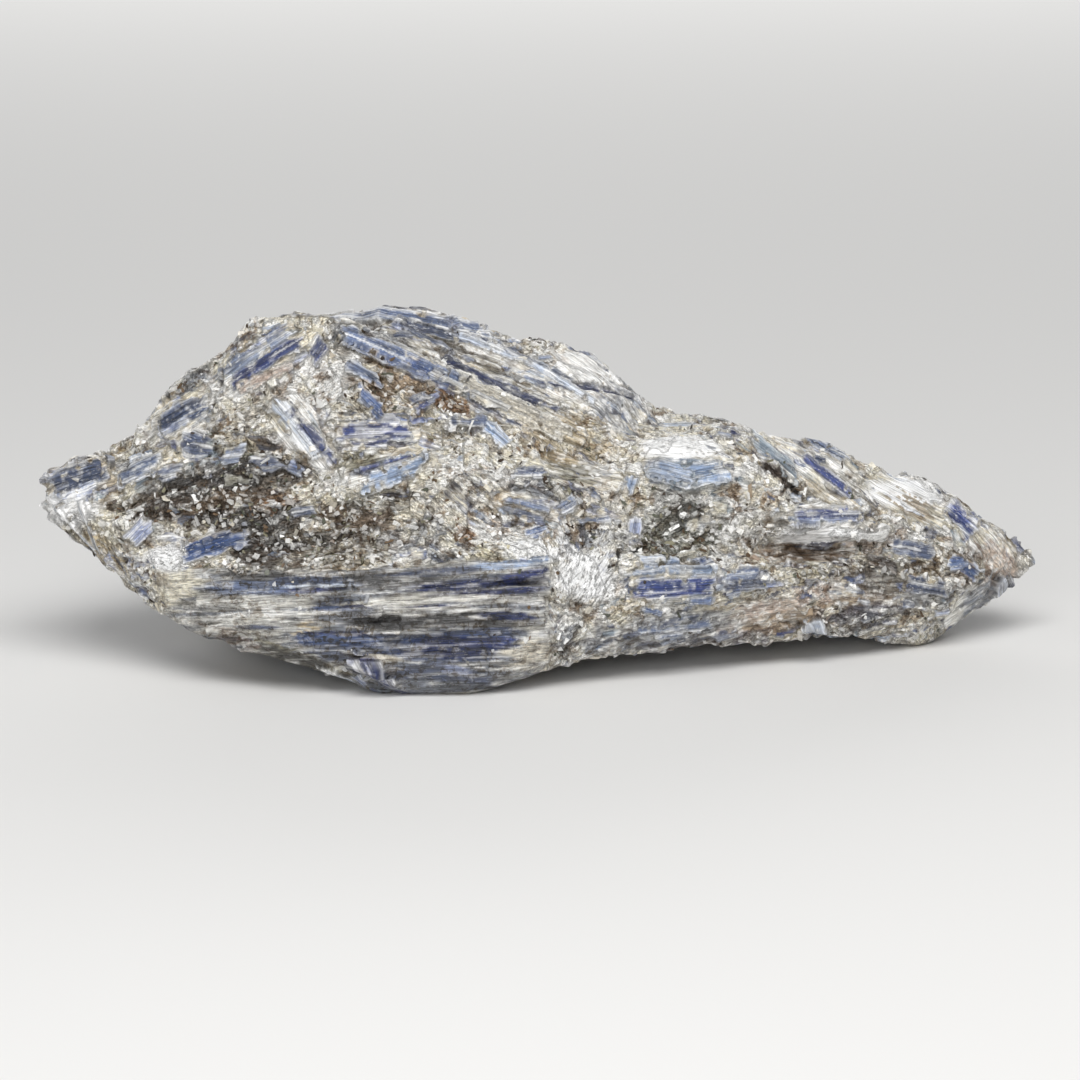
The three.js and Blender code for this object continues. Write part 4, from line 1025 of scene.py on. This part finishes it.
def rockMaterial(name, look):
    material, tree, shader = newMaterial(name)
    tone = addNode(tree, "Attribute", {"attribute_name": "tone"}).outputs["Color"]
    place = addNode(tree, "Attribute", {"attribute_name": "place"}).outputs["Vector"]
    blue = addNode(tree, "Attribute", {"attribute_name": "blue"}).outputs["Fac"]
    spot = scaledColour(tree, addNode(tree, "TexCoord").outputs["Object"], 1 / mm)
    # feldspar and quartz: small broken crystal faces
    faceHeight, faceShade = crystalFaces(tree, place, look["faces"], look["lean"])
    gritHeight, gritShade = crystalFaces(tree, spot, look["grit"], look["lean"])
    # kyanite: fine lines down the blade
    lined = addNode(tree, "Mapping", None, Vector=place, Scale=look["lines"]).outputs[0]
    lines = addNode(tree, "TexNoise", None, Vector=lined, Scale=1.0, Detail=3.0,
                    Roughness=0.6).outputs["Fac"]
    groundHeight = addNode(tree, "Math", {"operation": "MULTIPLY_ADD"}, n0=gritHeight,
                           n1=look["gritHeight"], n2=faceHeight)
    wisps = addNode(tree, "Mapping", None, Vector=place, Scale=look["wisps"]).outputs[0]
    wispNoise = addNode(tree, "TexNoise", None, Vector=wisps, Scale=1.0, Detail=4.0, Roughness=0.7,
                        Distortion=0.4).outputs["Fac"]
    groundShade = addNode(tree, "Math", {"operation": "MULTIPLY"},
                          n0=ranged(tree, faceShade, 0, 1, *look["faceShade"]),
                          n1=ranged(tree, gritShade, 0, 1, *look["gritShade"]))
    groundShade = addNode(tree, "Math", {"operation": "MULTIPLY"},
                          n0=groundShade.outputs[0],
                          n1=ranged(tree, wispNoise, 0.35, 0.65, *look["wispShade"]))
    height = mixed(tree, blue, groundHeight.outputs[0], scaledNumber(tree, lines, look["lineHeight"]))
    shade = mixed(tree, blue, groundShade.outputs[0],
                  ranged(tree, lines, 0.32, 0.68, *look["lineShade"]))
    colour = scaledColour(tree, tone, shade)
    # white flecks: specks of white crystal together with painted glints where the stone sparkles
    fleckAndGlint = ranged(tree, wispNoise, look["fleckAndGlintFrom"], look["fleckAndGlintFrom"] + 0.05, 0.0, look["fleckAndGlint"])
    blots = addNode(tree, "TexNoise", None, Vector=spot, Scale=look["stainScale"], Detail=4.0,
                    Roughness=0.7, Distortion=0.6).outputs["Fac"]
    stain = ranged(tree, blots, look["stainFrom"], look["stainFrom"] - 0.07, 0.0, look["stain"])
    dirty = addNode(tree, "Attribute", {"attribute_name": "dirty"}).outputs["Fac"]
    stain = scaledNumber(tree, stain, dirty)
    fleckAndGlint = scaledNumber(tree, fleckAndGlint, ranged(tree, dirty, 0.0, 1.0, 1.0, 0.1))
    stained = addNode(tree, "VectorMath", {"operation": "MULTIPLY"}, n0=colour,
                      n1=look["stainTint"]).outputs[0]
    colour = addNode(tree, "Mix", {"data_type": "RGBA"}, Factor=stain, n6=colour, n7=stained).outputs[2]
    colour = addNode(tree, "Mix", {"data_type": "RGBA"}, Factor=fleckAndGlint, n6=colour,
                     n7=(*linear(look["fleckAndGlintHex"]), 1)).outputs[2]
    rough = mixed(tree, blue, ranged(tree, faceShade, 0, 1, *look["groundRough"]),
                  ranged(tree, lines, 0.3, 0.7, *look["bladeRough"]))
    bump = addNode(tree, "Bump", None, Height=height, Distance=look["bump"] * mm,
                   Strength=1.0).outputs[0]
    tree.links.new(colour, shader.inputs["Base Color"])
    tree.links.new(rough, shader.inputs["Roughness"])
    tree.links.new(bump, shader.inputs["Normal"])
    shader.inputs["IOR"].default_value = look["ior"]
    shader.inputs["Subsurface Weight"].default_value = look["seeThrough"]
    shader.inputs["Subsurface Radius"].default_value = (1.0, 1.0, 1.0)
    shader.inputs["Subsurface Scale"].default_value = look["lightReach"] * mm
    return material


# kyanite blades broken out of feldspar and quartz, with mica: pearly blades with fine lines down them,
# and small glassy faces that catch the light between them; scales are cells or lines a millimetre, so
# faces are 0.4 mm across, grit 0.3 mm, lines 0.3 mm apart and wisps 0.3 mm wide
rockLook = {
    "faces": (0.7, 2.4, 2.4), "grit": (3.4, 3.4, 3.4), "lines": (0.16, 3.4, 1.2),
    "wisps": (0.9, 3.0, 3.0),
    "lean": 1.6, "gritHeight": 0.5, "lineHeight": 0.9, "bump": 0.3,
    "faceShade": (0.65, 1.25), "gritShade": (0.68, 1.24), "wispShade": (0.42, 1.48),
    "lineShade": (0.36, 1.5),
    "fleckAndGlintFrom": 0.59, "fleckAndGlint": 0.75, "fleckAndGlintHex": "#f4f4f2",
    "stainScale": 0.8, "stainFrom": 0.49, "stain": 0.95, "stainTint": (0.36, 0.29, 0.21),
    "groundRough": (0.2, 0.65), "bladeRough": (0.28, 0.6), "ior": 1.55, "seeThrough": 0.35,
    "lightReach": 0.5,
}


# quartz that broke as blocks looks glassy with cloudy patches; mica split along its sheets looks pearly
def grainMaterial(name, look):
    material, tree, shader = newMaterial(name)
    tone = addNode(tree, "Attribute", {"attribute_name": "tone"}).outputs["Color"]
    place = addNode(tree, "Attribute", {"attribute_name": "place"}).outputs["Vector"]
    cloud = addNode(tree, "TexNoise", None, Vector=place, Scale=look["scale"], Detail=3.0,
                    Roughness=0.6).outputs["Fac"]
    bump = addNode(tree, "Bump", None, Height=cloud, Distance=look["bump"] * mm,
                   Strength=1.0).outputs[0]
    tree.links.new(scaledColour(tree, tone, ranged(tree, cloud, 0.3, 0.7, *look["shade"])),
                   shader.inputs["Base Color"])
    tree.links.new(ranged(tree, cloud, 0.3, 0.7, *look["rough"]), shader.inputs["Roughness"])
    tree.links.new(bump, shader.inputs["Normal"])
    shader.inputs["IOR"].default_value = look["ior"]
    return material


quartzLook = {"scale": 1.6, "shade": (0.75, 1.2), "rough": (0.2, 0.5), "bump": 0.1, "ior": 1.54}
micaLook = {"scale": 1.0, "shade": (0.8, 1.15), "rough": (0.12, 0.3), "bump": 0.03, "ior": 1.6}
rock = rockMaterial("kyanite_in_feldspar", rockLook)
quartz = grainMaterial("broken_quartz", quartzLook)
mica = grainMaterial("cleaved_mica", micaLook)
for piece in surfacePieces:
    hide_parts("kyanite_cluster")
covered = [(piece, rock) for piece in surfacePieces] + [(quartzBlocks, quartz), (micaFlakes, mica)]
for piece, material in covered:
    piece.data.materials.clear()
    piece.data.materials.append(material)
    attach(piece, "root")
print("materials set")


studio = {"floorHex": "#e9e8e6", "floorRadius": 4.0, "worldHex": "#f4f6f8", "worldStrength": 0.21}
floorMesh = bpy.data.meshes.new("studio_floor")
rim = [(studio["floorRadius"] * math.cos(t), studio["floorRadius"] * math.sin(t), 0)
       for t in np.linspace(0, 2 * math.pi, 64, endpoint=False)]
floorMesh.from_pydata(rim, [], [list(range(64))])
floor = bpy.data.objects.new("studio_floor", floorMesh)
bpy.context.scene.collection.objects.link(floor)
# uncoated paper: matt, with no sheen
floorPaint, _, floorShader = newMaterial("matt_paper")
floorShader.inputs["Base Color"].default_value = (*linear(studio["floorHex"]), 1)
floorShader.inputs["Roughness"].default_value = 0.9
floorShader.inputs["Specular IOR Level"].default_value = 0.2
floorMesh.materials.append(floorPaint)

world = bpy.context.scene.world or bpy.data.worlds.new("studio")
bpy.context.scene.world = world
world.use_nodes = True
backgroundNode = next(node for node in world.node_tree.nodes if node.type == "BACKGROUND")
backgroundNode.inputs[0].default_value = (*linear(studio["worldHex"]), 1)
backgroundNode.inputs[1].default_value = studio["worldStrength"]


# soft boxes: place, what it points at, size in metres, watts
lampLook = {
    "overhead_box": ((0.05, -0.5, 0.8), (0, -0.12, 0), (0.8, 0.6), 7.2),
    "far_box": ((0, 1.4, 0.5), (0, 1.2, 0), (1.6, 0.4), 10.5),
    "front_box": ((-0.35, -1.5, 0.5), (0, 0, 0.03), (0.7, 0.5), 5),
}
for name, (place, aim, size, watts) in lampLook.items():
    lamp = bpy.data.lights.new(name, "AREA")
    lamp.shape = "RECTANGLE"
    lamp.size, lamp.size_y = size
    lamp.energy = watts
    lampObject = bpy.data.objects.new(name, lamp)
    bpy.context.scene.collection.objects.link(lampObject)
    lampObject.location = place
    lampObject.rotation_euler = (Vector(aim) - Vector(place)).to_track_quat("-Z", "Y").to_euler()
print("lamps set")

# metres back, millimetres across the view at the stone's middle, and where it aims on the drawing
cameraLook = {"distance": 1.5, "viewWidth": 216, "sensor": 36, "aimRise": 30.6, "aimDepth": 22.0}
aimDepth = cameraLook["aimDepth"] + (cadPoints @ sight).min()
aim = (cameraLook["aimRise"] + footRise) * drawUp + aimDepth * sight
cameraData = bpy.data.cameras.new("camera")
cameraData.sensor_width = cameraLook["sensor"]
cameraData.lens = cameraLook["sensor"] * cameraLook["distance"] / (cameraLook["viewWidth"] * mm)
cameraData.clip_end = 50
camera = bpy.data.objects.new("camera", cameraData)
bpy.context.scene.collection.objects.link(camera)
camera.location = Vector(aim * mm - sight * cameraLook["distance"])
camera.rotation_euler = Vector(sight).to_track_quat("-Z", "Y").to_euler()
bpy.context.scene.camera = camera
bpy.context.scene.view_settings.view_transform = "Standard"
